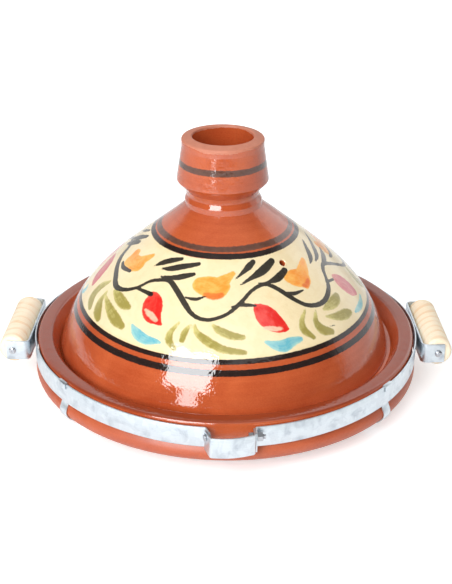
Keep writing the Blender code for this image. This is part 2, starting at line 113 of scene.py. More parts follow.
# How a hand-thrown lid is out of true
LID_SHIFT = 1.4
KNOB_LEAN = 2.2
KNOB_LEAN_FROM = 158
KNOB_LEAN_OVER = 26

# Band and straps
BAND_WIDTH = 18
BAND_DROP = 1.2
BAND_THICK = 1.2
BAND_BACK_DROP = 3.2
BAND_BACK_FROM = radians(96)
BAND_BACK_FULL = radians(125)
STRAP_WIDTH = 10
STRAP_THICK = 1
STRAP_BEND = 1.1
STRAP_TAB = 5
STRAP_ANGLE = radians(38)
STRAP_JOG_START = 24
STRAP_JOG_END = 15

# Clasp
CLASP_TURN = radians(1.5)
CLASP_HALF_GAP = 19.7
CLASP_STANDOFF = 13.1
CLASP_SKEW = 1.1
CLASP_SAG = 1.9
CLASP_SAG_END = radians(45)
LEFT_EAR_LEAN = radians(19)
RIGHT_EAR_LEAN = radians(4)
EAR_LENGTH = 9.8
EAR_BEND = 2
BRIDGE_THICK = 1.2
BRIDGE_BEND = 2.5
BRIDGE_BOW = 2.8
BRIDGE_STEPS = 8
BRIDGE_FOOT = 0.8
BRIDGE_SLANT = 0.045
BOLT_RADIUS = 2
BOLT_ALONG_EAR = 5.9
BOLT_LENGTH = 10
BOLT_HEAD_HEIGHT = 3.5
THREAD_PITCH = 0.8
THREAD_DEPTH = 0.35
THREAD_START = 0.4
BOLT_TIP_CHAMFER = 0.5
HEX_WIDTH = 7
HEX_CORNER = 0.5
NUT_HEIGHT = 4
# Steps in the nut's face toward its hole, as (how far in, how deep)
NUT_INSETS = [(0.9, 0), (0.5, -0.5)]
CLASP_PIN_RISE = 3.5
CLASP_RIVET_HEAD = (2.8, 1.4)

# Handles
HANDLE_TURN = radians(2.5)
GRIP_RADIUS = 12.2
GRIP_FULLER = 0.5
GRIP_LENGTH = 84
GRIP_ROUND = 3.5
GRIP_CLEAR = 1.6
BRACKET_THICK = 1.5
BRACKET_BEND = 4.5
BRACKET_LEG_END = 5.5
SCREW_RADIUS = 2
SCREW_LENGTH = 20
SCREW_TIP = 2
HEAD_RADIUS = 3.2
HEAD_HEIGHT = 1.6
RECESS_BAR = (3.6, 0.85, 2.0)
RECESS_TAPER = 0.55
RECESS_TURNS = (radians(20), radians(110))
RIVET_RADIUS = 2
RIVET_TAIL_RADIUS = 3
RIVET_TAIL_HEIGHT = 0.7
RIVET_OFFSET = 8
# The bracket rivets' heads, like the clasp rivet's, as (radius, height)
BRACKET_RIVET_HEAD = (3.6, 0.8)

# Places that follow from the sizes above
FOOT_Z = STRAP_THICK + GAP
RIM_Z = FOOT_Z + DISH_HEIGHT
LEDGE_Z = RIM_Z - LEDGE_DROP
LID_Z = LEDGE_Z + GAP
BAND_Z = RIM_Z - BAND_DROP - BAND_WIDTH / 2
BAND_INNER = RIM_RADIUS + GAP + STRAP_THICK + GAP
BAND_OUTER = BAND_INNER + BAND_THICK
BAND_MIDDLE = BAND_INNER + BAND_THICK / 2
WEB_INNER = BAND_OUTER + GAP
WEB_OUTER = WEB_INNER + BRACKET_THICK
GRIP_AXIS = WEB_OUTER + GRIP_CLEAR + GRIP_RADIUS
LEG_INNER = GRIP_LENGTH / 2 + GAP
LEG_OUTER = LEG_INNER + BRACKET_THICK

# How finely round pieces are turned, and curves are followed
POT_STEPS = 384
DISH_STEPS = 256
BAND_STEPS = 240
SMALL_STEPS = 40
CORNER_STEPS = 6
STROKE_STEPS = 6
DOME_STEPS = 130
RING_SPACING = 2.4
CREASE = radians(35)


# ---- Outlines ----


def rounded(corners):
    """The points of an open outline whose corners (x, y, radius) are rounded."""
    points = [Vector(corners[0][:2])]
    for before, corner, after in zip(corners, corners[1:], corners[2:]):
        here = Vector(corner[:2])
        back = Vector(before[:2]) - here
        ahead = Vector(after[:2]) - here
        half = back.angle(ahead) / 2
        nearly_straight = half > pi / 2 - 0.01
        if corner[2] == 0 or nearly_straight:
            points.append(here)
            continue
        # A round may take up nearly half of each side.
        reach = min(corner[2] / tan(half), 0.48 * back.length, 0.48 * ahead.length)
        radius = reach * tan(half)
        start = here + back.normalized() * reach
        end = here + ahead.normalized() * reach
        centre = here + (back.normalized() + ahead.normalized()).normalized() * radius / sin(half)
        sweep = (start - centre).angle_signed(end - centre)
        for step in range(CORNER_STEPS + 1):
            points.append(centre + Matrix.Rotation(-sweep * step / CORNER_STEPS, 2) @ (start - centre))
    points.append(Vector(corners[-1][:2]))
    return points


def swept_curve(start, pull, push, end, steps):
    """The points of a smooth curve between two points."""
    knots = [Vector((*point, 0)) for point in (start, pull, push, end)]
    return [point.to_2d() for point in interpolate_bezier(*knots, steps + 1)]


def moved_sideways(points, distance):
    """A line moved to the left of its direction by a distance."""
    headings = [(ahead - here).normalized() for here, ahead in zip(points, points[1:])]
    headings = [headings[0], *headings, headings[-1]]
    aside = []
    for point, into, onward in zip(points, headings, headings[1:]):
        middle = (into.orthogonal() + onward.orthogonal()).normalized()
        aside.append(point + middle * distance / middle.dot(into.orthogonal()))
    return aside


def closely_spaced(points, spacing):
    """The same outline with points added, about as far apart as the spacing."""
    full = [points[0]]
    for point in points[1:]:
        last = full[-1].copy()
        count = max(1, round((point - last).length / spacing))
        full.extend(last.lerp(point, step / count) for step in range(1, count + 1))
    return full


def part_way(value, start, end):
    """How far a value is from the start to the end, from 0 to 1."""
    return min(1, max(0, (value - start) / (end - start)))


def softly(value, start, end):
    """The same, slow at both ends."""
    return (1 - cos(pi * part_way(value, start, end))) / 2


# ---- Making pieces ----


def mesh_of(shape, name="blank"):
    """The mesh of a finished shape."""
    mesh = bpy.data.meshes.new(name)
    shape.to_mesh(mesh)
    shape.free()
    return mesh


def set_up(thing, **settings):
    """The same thing, with its settings made."""
    for name, value in settings.items():
        setattr(thing, name, value)
    return thing


def set_out(name, data):
    """A new object in the scene."""
    made = bpy.data.objects.new(name, data)
    bpy.context.scene.collection.objects.link(made)
    return made


def face_outward(shape):
    bmesh.ops.recalc_face_normals(shape, faces=shape.faces)


def add_piece(name, nodes, shape, finish, body="base", place=Matrix()):
    """Makes a shape in millimetres a piece of the object, in its place in metres."""
    bmesh.ops.remove_doubles(shape, verts=shape.verts, dist=0.001)
    face_outward(shape)
    bmesh.ops.transform(shape, matrix=Matrix.Scale(TO_METRES, 4) @ place, verts=shape.verts)
    mesh = mesh_of(shape, name)
    mesh.shade_smooth()
    mesh.set_sharp_from_angle(angle=CREASE)
    slot, material = finish
    mesh.materials.append(material)
    piece = set_out(name, mesh)
    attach(piece, body)
    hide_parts(*nodes)
    return piece


def turned(outline, steps):
    """A shape turned about the Z axis from an outline of (radius, height)."""
    shape = bmesh.new()
    points = [shape.verts.new((radius, 0, height)) for radius, height in outline]
    lines = [shape.edges.new(pair) for pair in zip(points, points[1:])]
    bmesh.ops.spin(shape, geom=points + lines, axis=(0, 0, 1), angle=2 * pi, steps=steps, use_merge=True)
    bmesh.ops.remove_doubles(shape, verts=shape.verts, dist=0.0005)
    return shape


def settled(blank):
    """The shape that a blank has with its modifiers, and the blank is cleared away."""
    bpy.context.view_layer.update()
    shape = bmesh.new()
    shape.from_object(blank, bpy.context.evaluated_depsgraph_get())
    bpy.data.objects.remove(blank)
    return shape


def bent_strip(path, width, thickness, corner, edge=0.22, rises=None):
    """A strip bent along a path in the XY plane, as wide as stated along Z, with softened edges."""
    shape = bmesh.new()
    rises = rises or [0] * len(path)
    points = [shape.verts.new((point.x, point.y, rise - width / 2)) for point, rise in zip(path, rises)]
    lines = [shape.edges.new(pair) for pair in zip(points, points[1:])]
    raised = bmesh.ops.extrude_edge_only(shape, edges=lines)["geom"]
    upper = [item for item in raised if isinstance(item, bmesh.types.BMVert)]
    bmesh.ops.translate(shape, verts=upper, vec=(0, 0, width))
    tips = [vert for vert in shape.verts if len(vert.link_edges) == 2]
    bmesh.ops.bevel(shape, geom=tips, affect="VERTICES", offset=corner, segments=4, profile=0.5, material=-1)
    face_outward(shape)
    blank = set_out("blank", mesh_of(shape))
    skin = blank.modifiers.new("thickness", "SOLIDIFY")
    set_up(skin, thickness=thickness, offset=0, use_even_offset=True)
    soft = blank.modifiers.new("edges", "BEVEL")
    set_up(soft, limit_method="ANGLE", angle_limit=radians(50), width=edge, segments=2)
    return settled(blank)


def cut_away(shape, tool):
    """A shape with another one cut out of it."""
    face_outward(shape)
    blank = set_out("blank", mesh_of(shape))
    cutter = set_out("cutter", mesh_of(tool))
    cut = blank.modifiers.new("cut", "BOOLEAN")
    set_up(cut, operation="DIFFERENCE", solver="EXACT", object=cutter)
    made = settled(blank)
    bpy.data.objects.remove(cutter)
    return made


def moved(x, y, z):
    return Matrix.Translation((x, y, z))


def aimed(point, direction):
    """A place whose own Z runs along a direction."""
    return Matrix.Translation(point) @ direction.to_track_quat("Z", "Y").to_matrix().to_4x4()


# ---- Shader nodes ----


class Signal:
    """What a shader node gives, on which sums are written as sums."""

    def __init__(self, tree, socket):
        self.tree = tree
        self.socket = socket

    def __add__(self, other):
        return maths("ADD", self, other)

    def __sub__(self, other):
        return maths("SUBTRACT", self, other)

    def __rsub__(self, other):
        return maths("SUBTRACT", other, self)

    def __mul__(self, other):
        return maths("MULTIPLY", self, other)

    def held(self):
        """The same, held between 0 and 1."""
        return maths("MINIMUM", maths("MAXIMUM", self, 0.0), 1.0)


def feed(tree, sockets, values):
    """Links sockets to signals or sets them to constants, by their names or numbers."""
    for name, value in values.items():
        if isinstance(value, Signal):
            tree.links.new(value.socket, sockets[name])
        else:
            sockets[name].default_value = value


def node(tree, kind, inputs={}, gives=0, **settings):
    """What a new shader node gives, with its settings and with its sockets fed."""
    made = set_up(tree.nodes.new("ShaderNode" + kind), **settings)
    feed(tree, made.inputs, inputs)
    return Signal(tree, made.outputs[gives])


def tree_of(values):
    """The tree that the signals among some values are in."""
    return next(value.tree for value in values if isinstance(value, Signal))


def maths(operation, *values):
    """The result of one sum on signals and numbers."""
    return node(tree_of(values), "Math", dict(enumerate(values)), operation=operation)


def seen(red, green, blue):
    """A colour as the eye sees it, each part 0 to 255, as the light that a shader mixes."""
    parts = [part / 255 for part in (red, green, blue)]
    return (*[p / 12.92 if p <= 0.04045 else ((p + 0.055) / 1.055) ** 2.4 for p in parts], 1.0)


def blended(share, first, second):
    """Two colours blended by a share from 0 to 1."""
    return node(tree_of((share, first, second)), "Mix", {0: share, 6: first, 7: second}, 2, data_type="RGBA")


def eased(value, low, high, start=0.0, end=1.0):
    """A signal taken smoothly from one range to another."""
    ranges = {"Value": value, "From Min": low, "From Max": high, "To Min": start, "To Max": end}
    return node(value.tree, "MapRange", ranges, interpolation_type="SMOOTHSTEP")


def mottling(place, scale, detail=2.0, distortion=0.0):
    """Soft cloudy variation, 0 to 1, at a number of patches per metre."""
    look = {"Vector": place, "Scale": scale, "Detail": detail, "Distortion": distortion}
    return node(place.tree, "TexNoise", look)


def grained(place, level, upright, detail=2.0, distortion=0.0):
    """Mottling with one number of patches per metre for level directions and another for height."""
    stretch = node(place.tree, "Mapping", {"Vector": place, "Scale": (level, level, upright)})
    return mottling(stretch, 1.0, detail, distortion)


def parts_of(place):
    """The X, Y and Z of a place."""
    return [node(place.tree, "SeparateXYZ", {"Vector": place}, axis) for axis in "XYZ"]


def new_group(name, **inputs):
    """A group of nodes and its named inputs: colours, numbers, and None for a place."""
    group = bpy.data.node_groups.new(name, "ShaderNodeTree")
    for label, value in inputs.items():
        kind = "Vector" if value is None else "Color" if isinstance(value, tuple) else "Float"
        socket = group.interface.new_socket(label, in_out="INPUT", socket_type="NodeSocket" + kind)
        if value is not None:
            socket.default_value = value
    starts = group.nodes.new("NodeGroupInput").outputs
    return group, [Signal(group, starts[label]) for label in inputs]


def give(group, **outputs):
    """Feeds what a group gives: its colour, and other values."""
    end = group.nodes.new("NodeGroupOutput")
    for label in outputs:
        kind = "Color" if label == "Colour" else "Float"
        group.interface.new_socket(label, in_out="OUTPUT", socket_type="NodeSocket" + kind)
    feed(group, end.inputs, outputs)
    return group


def use(tree, group, **inputs):
    """What a node group gives in a tree, with its inputs fed by their names."""
    made = tree.nodes.new("ShaderNodeGroup")
    made.node_tree = group
    feed(tree, made.inputs, inputs)
    return {output.name: Signal(tree, output) for output in made.outputs}


def new_material(name):
    """An empty material, its tree, and the place on the piece."""
    made = bpy.data.materials.new(name)
    made.use_nodes = True
    return made, made.node_tree, node(made.node_tree, "TexCoord", gives="Object")


def coated(made, colour, roughness, height, depth, **more):
    """A material with its shader fed, and its surface raised as deep as stated in metres."""
    tree = made.node_tree
    normal = node(tree, "Bump", {"Height": height, "Distance": depth})
    looks = {"Base Color": colour, "Roughness": roughness, "Normal": normal, **more}
    feed(tree, tree.nodes["Principled BSDF"].inputs, looks)
    return made


# ---- Shared finishes ----

WHITE = (1.0, 1.0, 1.0, 1.0)
GLAZE_IOR = 1.7
UNGLAZED = seen(206, 132, 104)
UNGLAZED_DEEP = seen(184, 106, 78)
# Painted shade for the rim's flat top: its colour, and how much of it is laid
RIM_PAINTED_SHADE = seen(120, 44, 20)
RIM_SHADE_SHARE = 0.75
# Below this height the dish's foot has no glaze.
FOOT_GLAZE_END = 4.2
# Between the first heights painted shade darkens the rim's flat top. Between the next ones the outer wall
# turns satin, and the distances from the origin, in metres, keep that off the inside.
RIM_SHADE_HEIGHTS = (RIM_Z - 2, RIM_Z - 0.4)
WALL_DULLS = (RIM_Z - 19, RIM_Z - 24)
WALL_DULLS_BEYOND = (0.142, 0.147)
WALL_DULLER = 0.4


def make_fired_clay():
    """Thrown and glazed clay: cloudy colour, fine specks, turning marks and a rippled glaze."""
    group, (place, pale, deep, gloss) = new_group(
        "fired_clay", Position=None, Pale=seen(198, 97, 54), Deep=seen(168, 69, 34), Gloss=0.04
    )
    clouds = mottling(place, 22, 3.0, 0.6)
    specks = mottling(place, 900)
    turning = grained(place, 3.0, 420.0, distortion=0.2)
    ripple = mottling(place, 130, distortion=0.4)
    peel = mottling(place, 520, 1.0)
    grit = mottling(place, 1250, 1.0) * eased(clouds, 0.35, 0.7)
    tone = clouds * 1.5 + specks * 0.7 + turning * 0.5 - 0.85
    return give(
        group,
        Colour=blended(tone.held(), deep, pale),
        Roughness=gloss + clouds * 0.08 - 0.02,
        Height=turning * 0.55 + ripple * 4.5 + peel * 1.7 + grit * 0.45,
    )


def make_brushed_paint():
    """One brushed colour over what is below it: ragged edges, bristle streaks, pooled at end and side."""
    group, (below, place, distance, along, side, thin, thick, ragged, soft, pooling, cover) = new_group(
        "brushed_paint", Below=WHITE, Position=None, Distance=-5.0, Along=0.5, Side=0.0, Thin=WHITE,
        Thick=WHITE, Ragged=0.3, Soft=0.25, Pooling=0.4, Cover=1.0,
    )
    fray = (mottling(place, 420, 3.0) - 0.5) * ragged * 3.0
    mask = eased(fray + distance, soft * -1.0, soft) * cover
    wash = mottling(place, 150, 3.0, 0.8)
    hairs = node(group, "CombineXYZ", {"X": side * 2.6, "Y": along * 2.0})
    bristles = mottling(hairs, 1.6)
    wet_side = eased(side, 0.1, 0.9) * pooling
    pooled = along * pooling + bristles * 0.9 + wet_side * 0.7
    body = eased(distance, 0.0, 3.0) * 0.4 + pooled + wash * 1.5 - 1.0
    return give(group, Colour=blended(mask, below, blended(body.held(), thin, thick)))


def make_rolled_steel():
    """Zinc-coated rolled strip: faint crystal patches, milling streaks, dull smudges and grey spots."""
    group, (place, bright, dull, smudges, rough) = new_group(
        "rolled_steel", Position=None, Bright=WHITE, Dull=WHITE, Smudges=0.5, Rough=0.3
    )
    cells = node(group, "TexVoronoi", {"Vector": place, "Scale": 210.0}, "Color")
    crystal = node(group, "SeparateColor", {"Color": cells})
    streaks = grained(place, 26.0, 1500.0, 3.0)
    smudge = eased(mottling(place, 60, 4.0, 1.0), 0.5, 0.75)
    spots = eased(mottling(place, 260), 0.62, 0.75)
    tone = (smudge * smudges + crystal * 0.16 + streaks * 0.2 + spots * 0.12).held()
    return give(
        group,
        Colour=blended(tone, bright, dull),
        Roughness=rough + tone * 0.22 + streaks * 0.08,
        Height=mottling(place, 45, 1.0) + streaks * 0.06 + crystal * 0.02,
    )


def make_pine_grain():
    """Pine turned across its grain: growth rings about the tree's upright middle, and fine fibres."""
    group, (place, spring, summer, spacing) = new_group(
        "pine_grain", Position=None, Spring=seen(255, 240, 214), Summer=seen(238, 192, 130), Spacing=0.0105
    )
    sway = 0.034
    drift = node(group, "TexNoise", {"Vector": place, "Scale": 17.0}, "Color")
    bent = node(group, "VectorMath", {0: drift, 1: (sway, sway, sway), 2: place}, operation="MULTIPLY_ADD")
    x, y = [part - sway / 2 for part in parts_of(bent)[:2]]
    from_middle = maths("SQRT", x * x + y * y)
    ring = maths("FRACT", maths("DIVIDE", from_middle, spacing))
    fine_ring = maths("FRACT", ring * 4.0)
    late = eased(ring, 0.5, 0.86) * eased(ring, 1.0, 0.94) * 0.55 + eased(fine_ring, 0.4, 0.9) * 0.2
    late = late * eased(mottling(place, 55, 1.0), 0.3, 0.65, 0.25, 1.0)
    fibres = grained(place, 900.0, 90.0)
    tone = late * 0.75 + fibres * 0.5 + mottling(place, 60) * 0.5 - 0.45
    return give(
        group,
        Colour=blended(tone.held(), spring, summer),
        Roughness=late * -0.08 + 0.62,
        Height=late * 0.5 + fibres * 0.5,
    )


FIRED_CLAY = make_fired_clay()
BRUSHED_PAINT = make_brushed_paint()
ROLLED_STEEL = make_rolled_steel()
PINE_GRAIN = make_pine_grain()


def bare_where(colour, rough, place, distance):
    """Colour and roughness where the glaze stops and the fired clay shows matt."""
    fray = mottling(place, 300, 3.0) - 0.5
    bare = eased(fray * 2.2 + distance, -0.35, 0.35)
    chalk = blended(mottling(place, 200, 3.0), UNGLAZED_DEEP, UNGLAZED)
    return blended(bare, colour, chalk), rough + bare * 0.6


def make_dish_material():
    """Glossy inside and on the rim, with painted shade darkening the rim's flat top, and satin on the outer
    wall below.
    """
    made, tree, place = new_material("dish_glaze")
    clay = use(tree, FIRED_CLAY, Position=place)
    height = parts_of(place)[2] * (1 / TO_METRES)
    colour, rough = bare_where(clay["Colour"], clay["Roughness"], place, FOOT_GLAZE_END - height)
    # Painted shade darkens the rim's flat top
    colour = blended(eased(height, *RIM_SHADE_HEIGHTS, 0.0, RIM_SHADE_SHARE), colour, RIM_PAINTED_SHADE)
    from_middle = node(tree, "VectorMath", {0: place}, "Value", operation="LENGTH")
    low_wall = eased(height, *WALL_DULLS, 0.0, WALL_DULLER)
    rough = rough + eased(from_middle, *WALL_DULLS_BEYOND) * low_wall
    return coated(made, colour, rough, clay["Height"], depth=0.00006, IOR=GLAZE_IOR)


# The paints in the order they were laid: stored distance, thin colour, thick colour, and how ragged,
# soft and pooled each is, and how well it covers
COATS = [
    ("cream_slip", (232, 209, 161), (238, 219, 177), 0.25, 0.2, 0.3, 1.0),
    ("umber_lines", (98, 68, 56), (60, 43, 36), 0.35, 0.3, 0.3, 0.95),
    ("black_lines", (34, 30, 28), (14, 13, 13), 0.25, 0.22, 0.3, 0.98),
    ("olive_leaves", (212, 200, 124), (142, 130, 38), 0.5, 0.7, 0.62, 0.88),
    ("blue_leaves", (166, 212, 202), (66, 170, 190), 0.5, 0.45, 0.35, 0.9),
    ("pink_buds", (222, 142, 134), (200, 80, 94), 0.5, 0.5, 0.45, 0.94),
    ("orange_fruit", (248, 192, 100), (242, 146, 40), 0.4, 0.45, 0.3, 0.97),
    ("ripe_orange", (232, 134, 58), (220, 92, 32), 0.5, 0.8, 0.3, 0.9),
    ("red_tulips", (234, 78, 66), (218, 18, 18), 0.45, 0.35, 0.45, 0.98),
    ("washed_red", (238, 206, 172), (236, 176, 150), 0.7, 0.7, 0.3, 0.9),
    ("black_vine", (50, 46, 42), (20, 19, 19), 0.3, 0.25, 0.55, 0.97),
]


def make_lid_material():
    """Glazed clay with the painting over it, bare on the knob's rim and at the lid's seat."""
    made, tree, place = new_material("lid_glaze")

    def stored(name):
        return node(tree, "Attribute", gives="Fac", attribute_name=name, attribute_type="GEOMETRY")

    clay = use(tree, FIRED_CLAY, Position=place)
    along = stored("brush_along")
    side = stored("brush_side")
    colour = clay["Colour"]
    for name, thin, thick, ragged, soft, pooling, cover in COATS:
        brushed = {"Distance": stored(name), "Along": along, "Side": side}
        inks = {"Below": colour, "Thin": seen(*thin), "Thick": seen(*thick)}
        ways = {"Ragged": ragged, "Soft": soft, "Pooling": pooling, "Cover": cover}
        colour = use(tree, BRUSHED_PAINT, Position=place, **brushed, **inks, **ways)["Colour"]
    colour, rough = bare_where(colour, clay["Roughness"], place, stored("bare_clay"))
    return coated(made, colour, rough, clay["Height"], depth=0.00005, IOR=GLAZE_IOR)


# Steel, as (name, bright colour, dull colour, how smudged, roughness, depth of the surface in metres)
STRIP_LOOK = ("galvanised_strip", (223, 231, 236), (152, 163, 176), 0.42, 0.3, 0.00012)
FASTENER_LOOK = ("zinc_fastener", (200, 203, 208), (128, 130, 136), 0.4, 0.28, 0.00006)

# How far the middle of the pine tree is from a grip's middle, in metres across and along the grip,
# and how it leans
PINE_MIDDLE = (0.012, 0.075)
PINE_LEAN = (radians(6), radians(4))


def make_steel_material(name, bright, dull, smudges, rough, depth):
    made, tree, place = new_material(name)
    looks = {"Bright": seen(*bright), "Dull": seen(*dull), "Smudges": smudges, "Rough": rough}
    steel = use(tree, ROLLED_STEEL, Position=place, **looks)
    return coated(made, steel["Colour"], steel["Roughness"], steel["Height"], depth, Metallic=1.0)


def handle_angle(side):
    """The way a handle faces. Side is -1 left and 1 right."""
    return HANDLE_TURN if side > 0 else pi - HANDLE_TURN


def make_pine_material(name, side):
    """Pine for one grip. The tree's middle lies beyond the grip's end, and leans a little."""
    made, tree, place = new_material(name)
    middle = Matrix.Rotation(handle_angle(side), 4, "Z") @ Vector((GRIP_AXIS, 0, BAND_Z))
    centred = node(tree, "Mapping", {"Vector": place, "Location": -middle * TO_METRES})
    level = node(tree, "Mapping", {
        "Vector": centred,
        "Rotation": (PINE_LEAN[0], -PINE_LEAN[1] * side, -handle_angle(side)),
        "Location": (PINE_MIDDLE[0], -PINE_MIDDLE[1] * side, 0.0),
    })
    grain = use(tree, PINE_GRAIN, Position=level)
    return coated(made, grain["Colour"], grain["Roughness"], grain["Height"], depth=0.00006)


# ---- The lid and its painting ----


def dome_outside(steps):
    """The dome from the collar's foot down to the lid's edge, as (radius, height above that edge)."""
    shoulder = (COLLAR_RADIUS + DOME_SHOULDER, DOME_HEIGHT - DOME_SHOULDER_DROP)
    flare = (LID_RADIUS - DOME_FLARE, LID_EDGE_ROUND + DOME_FLARE_HEIGHT)
    return swept_curve((COLLAR_RADIUS, DOME_HEIGHT), shoulder, flare, (LID_RADIUS, LID_EDGE_ROUND), steps)


def lid_shape():
    """The lid, turned from the cup's floor over the knob and dome to the hollow's crown."""
    collar_top = DOME_HEIGHT + COLLAR_HEIGHT
    lip = collar_top + GROOVE_HEIGHT + KNOB_LIP_HEIGHT
    cup_floor = LID_HEIGHT - CUP_DEPTH
    bore = KNOB_TOP_RADIUS - KNOB_WALL
    knob = rounded([
        (0, cup_floor, 0),
        (bore - CUP_TAPER, cup_floor, CUP_ROUND),
        (bore, LID_HEIGHT, KNOB_EDGE_ROUND),
        (KNOB_TOP_RADIUS, LID_HEIGHT - KNOB_TOP_SLOPE, KNOB_EDGE_ROUND),
        (KNOB_TOP_RADIUS, LID_HEIGHT - KNOB_TOP_SLOPE - KNOB_TOP_LENGTH, KNOB_TOP_ROUND),
        (KNOB_LIP_RADIUS, lip, KNOB_LIP_ROUND),
        (GROOVE_RADIUS + KNOB_UNDERCUT, lip - KNOB_LIP_HEIGHT, KNOB_UNDERCUT),
        (GROOVE_RADIUS, collar_top + GROOVE_HEIGHT / 2, GROOVE_ROUND),
        (COLLAR_RADIUS, collar_top, COLLAR_ROUND),
        (COLLAR_RADIUS, DOME_HEIGHT, 0),
    ])
    outer = dome_outside(DOME_STEPS)
    wall = moved_sideways(dome_outside(steps=22), -LID_WALL)
    inner = [point for point in reversed(wall) if point.x > GROOVE_RADIUS - LID_WALL][1:]
    edge = rounded([
        (*outer[-1], 0),
        (LID_RADIUS, 0, LID_EDGE_ROUND),
        (inner[0].x, 0, LID_EDGE_ROUND),
        (*inner[0], 0),
    ])
    outside = closely_spaced(knob[1:-1], RING_SPACING) + outer[:-1] + edge[:-1]
    crown = Vector((0, inner[-1].y + CROWN_RISE))
    outline = [knob[0]] + outside + inner + [crown]
    return turned([(point.x, point.y + LID_Z) for point in outline], POT_STEPS)


def steam_hole_cutter():
    """A small flared plug, square to the dome's wall, that leaves a soft-edged hole."""
    outer = dome_outside(DOME_STEPS)
    index = min(range(len(outer)), key=lambda step: abs(outer[step].y - HOLE_HEIGHT))
    slope = (outer[index + 1] - outer[index - 1]).normalized()
    heading = Matrix.Rotation(HOLE_TURN, 4, "Z")
    point = heading @ Vector((0, -outer[index].x, LID_Z + outer[index].y))
    direction = heading @ Vector((0, slope.y, slope.x))
    flare = [(HOLE_RADIUS + wider, height) for wider, height in HOLE_EDGE]
    cutter = turned([(0, flare[0][1]), *flare, (0, flare[-1][1])], steps=32)
    face_outward(cutter)
    bmesh.ops.transform(cutter, matrix=aimed(point, direction), verts=cutter.verts)
    return cutter


# Brush strokes on the dome. Each point is (degrees to the right of the front, height above the rim,
# half the stroke's width); heights and widths are in millimetres.
VINE = [
    (-94, 77.5, 2.2), (-90, 75.2, 2.8), (-86.4, 70.5, 2.9), (-80, 66.3, 2.6), (-72, 62.4, 2.7),
    (-67.5, 59.6, 2.6), (-63, 58.6, 2.2), (-57.5, 60.4, 1.7), (-52, 64.4, 1.4), (-49, 68, 1.3),
    (-45.5, 72.2, 1.4), (-39, 75.2, 1.6), (-34.5, 76, 1.9), (-30, 73.8, 2.2), (-24.3, 69, 2.3),
    (-20.2, 64.6, 2.2), (-16.8, 60.7, 1.8), (-12.8, 58, 1.6), (-8, 57.4, 1.5), (-3.2, 59.1, 1.4),
    (0.8, 61.5, 1.4), (4.4, 64.8, 1.6), (8.5, 68.9, 1.5), (13, 73.3, 1.4), (18, 76.2, 1.5), (23, 77, 1.5),
    (26.3, 75.7, 1.7), (30, 72.5, 1.9), (32.5, 69.3, 2.0), (35.2, 65.6, 1.9), (38, 62, 1.8),
    (41, 59.1, 1.8), (45, 57.2, 1.9), (49, 56.6, 2.0), (53, 57.3, 2.1), (57.4, 59.5, 2.2), (61, 62.2, 2.1),
    (63.6, 65.4, 1.9), (66, 68.7, 1.8), (69, 71.8, 2.0), (73.6, 73, 1.9), (80, 69.3, 1.7), (87, 63.2, 1.6),
    (93, 57.6, 1.7), (99, 55.4, 2.0), (106, 56.5, 2.1), (113, 61, 1.8), (120, 67.5, 1.5), (128, 73.6, 1.5),
    (135, 76.2, 1.8), (142, 75, 2.1), (148, 71, 2.2), (153, 65.5, 2.1), (159, 60, 1.8), (166, 57.6, 1.6),
    (173, 59, 1.5), (180, 63.6, 1.5), (187, 70, 1.5), (194, 75, 1.5), (200, 77, 1.7), (206, 75.4, 1.9),
    (212, 71, 2.1), (217, 65, 2.0), (223, 60, 1.8), (230, 57.6, 1.8), (237, 59.5, 2.0), (244, 65, 1.8),
    (251, 72, 1.6), (257, 76.4, 1.6), (263, 77, 1.6),
]

# Sprays of black leaves, the twigs that hold fruit and buds, and one stray mark
LEFT_SPRAY = [
    [(-50.6, 80.7, 0.4), (-46.5, 84.0, 1.7), (-41, 87.1, 1.9), (-33.4, 90, 1.2)],
    [(-44.2, 81, 0.5), (-37.2, 83, 1.9), (-29.7, 86, 2.0), (-19.4, 89.2, 1.3)],
    [(-41, 76.9, 0.5), (-32.4, 78.4, 1.7), (-26, 80.8, 1.9), (-20.6, 82.9, 1.2)],
]
RIGHT_SPRAY = [
    [(5.9, 81.7, 0.5), (10.8, 85, 1.1), (15.8, 88.2, 2.0), (20.4, 91, 1.6)],
    [(8.8, 78.3, 0.5), (15.5, 81.5, 1.3), (24.6, 85, 2.7), (34.6, 89.4, 2.1)],
    [(19.5, 78.3, 0.4), (24.9, 77.9, 0.8), (32.3, 79, 2.4), (40.2, 82.2, 2.0)],
]
FAR_LEFT_SPRAY = [
    [(-104, 84, 0.6), (-99, 87, 1.3), (-92, 91, 0.9)],
    [(-101, 78, 1.2), (-93, 83.6, 2.2), (-84, 89.2, 1.4)],
    [(-99, 73.6, 1.2), (-92, 79, 2.4), (-85, 83.4, 1.5)],
]
FAR_RIGHT_SPRAY = [
    [(79.5, 90.2, 0.7), (74.3, 86.5, 1.7), (69, 81.9, 2.1), (63, 78.8, 0.6)],
    [(96, 88.4, 0.7), (87.7, 85.2, 1.4), (80.4, 81.4, 2.1), (75.6, 79, 1.8), (69, 77.6, 0.6)],
    [(89, 77.8, 0.8), (82.4, 75, 2.3), (74.5, 73.4, 1.6)],
]
LEFT_TWIGS = [
    [(-51.5, 64.9, 1.0), (-45.5, 65.3, 1.5), (-40.5, 65.3, 2.0)],
    [(-77.9, 69.9, 1.3), (-72.8, 68.8, 1.9), (-64.5, 70.5, 1.3)],
]
MIDDLE_TWIGS = [
    [(2.9, 65.4, 0.8), (7.5, 66.4, 1.3), (11.3, 66.1, 1.4), (14.9, 65.4, 0.8)],
    [(-21.4, 68.9, 0.6), (-15.9, 68.7, 1.4), (-10.5, 71, 0.5)],
]
RIGHT_TWIGS = [[(33.8, 69.3, 1.2), (38, 67.9, 1.6), (44.2, 68, 0.6)]]
LONE_TWIGS = [
    [(62.5, 65, 1.3), (69, 63.2, 1.1)],
    [(46.4, 41.6, 0.4), (49.4, 40.5, 0.5)],
]

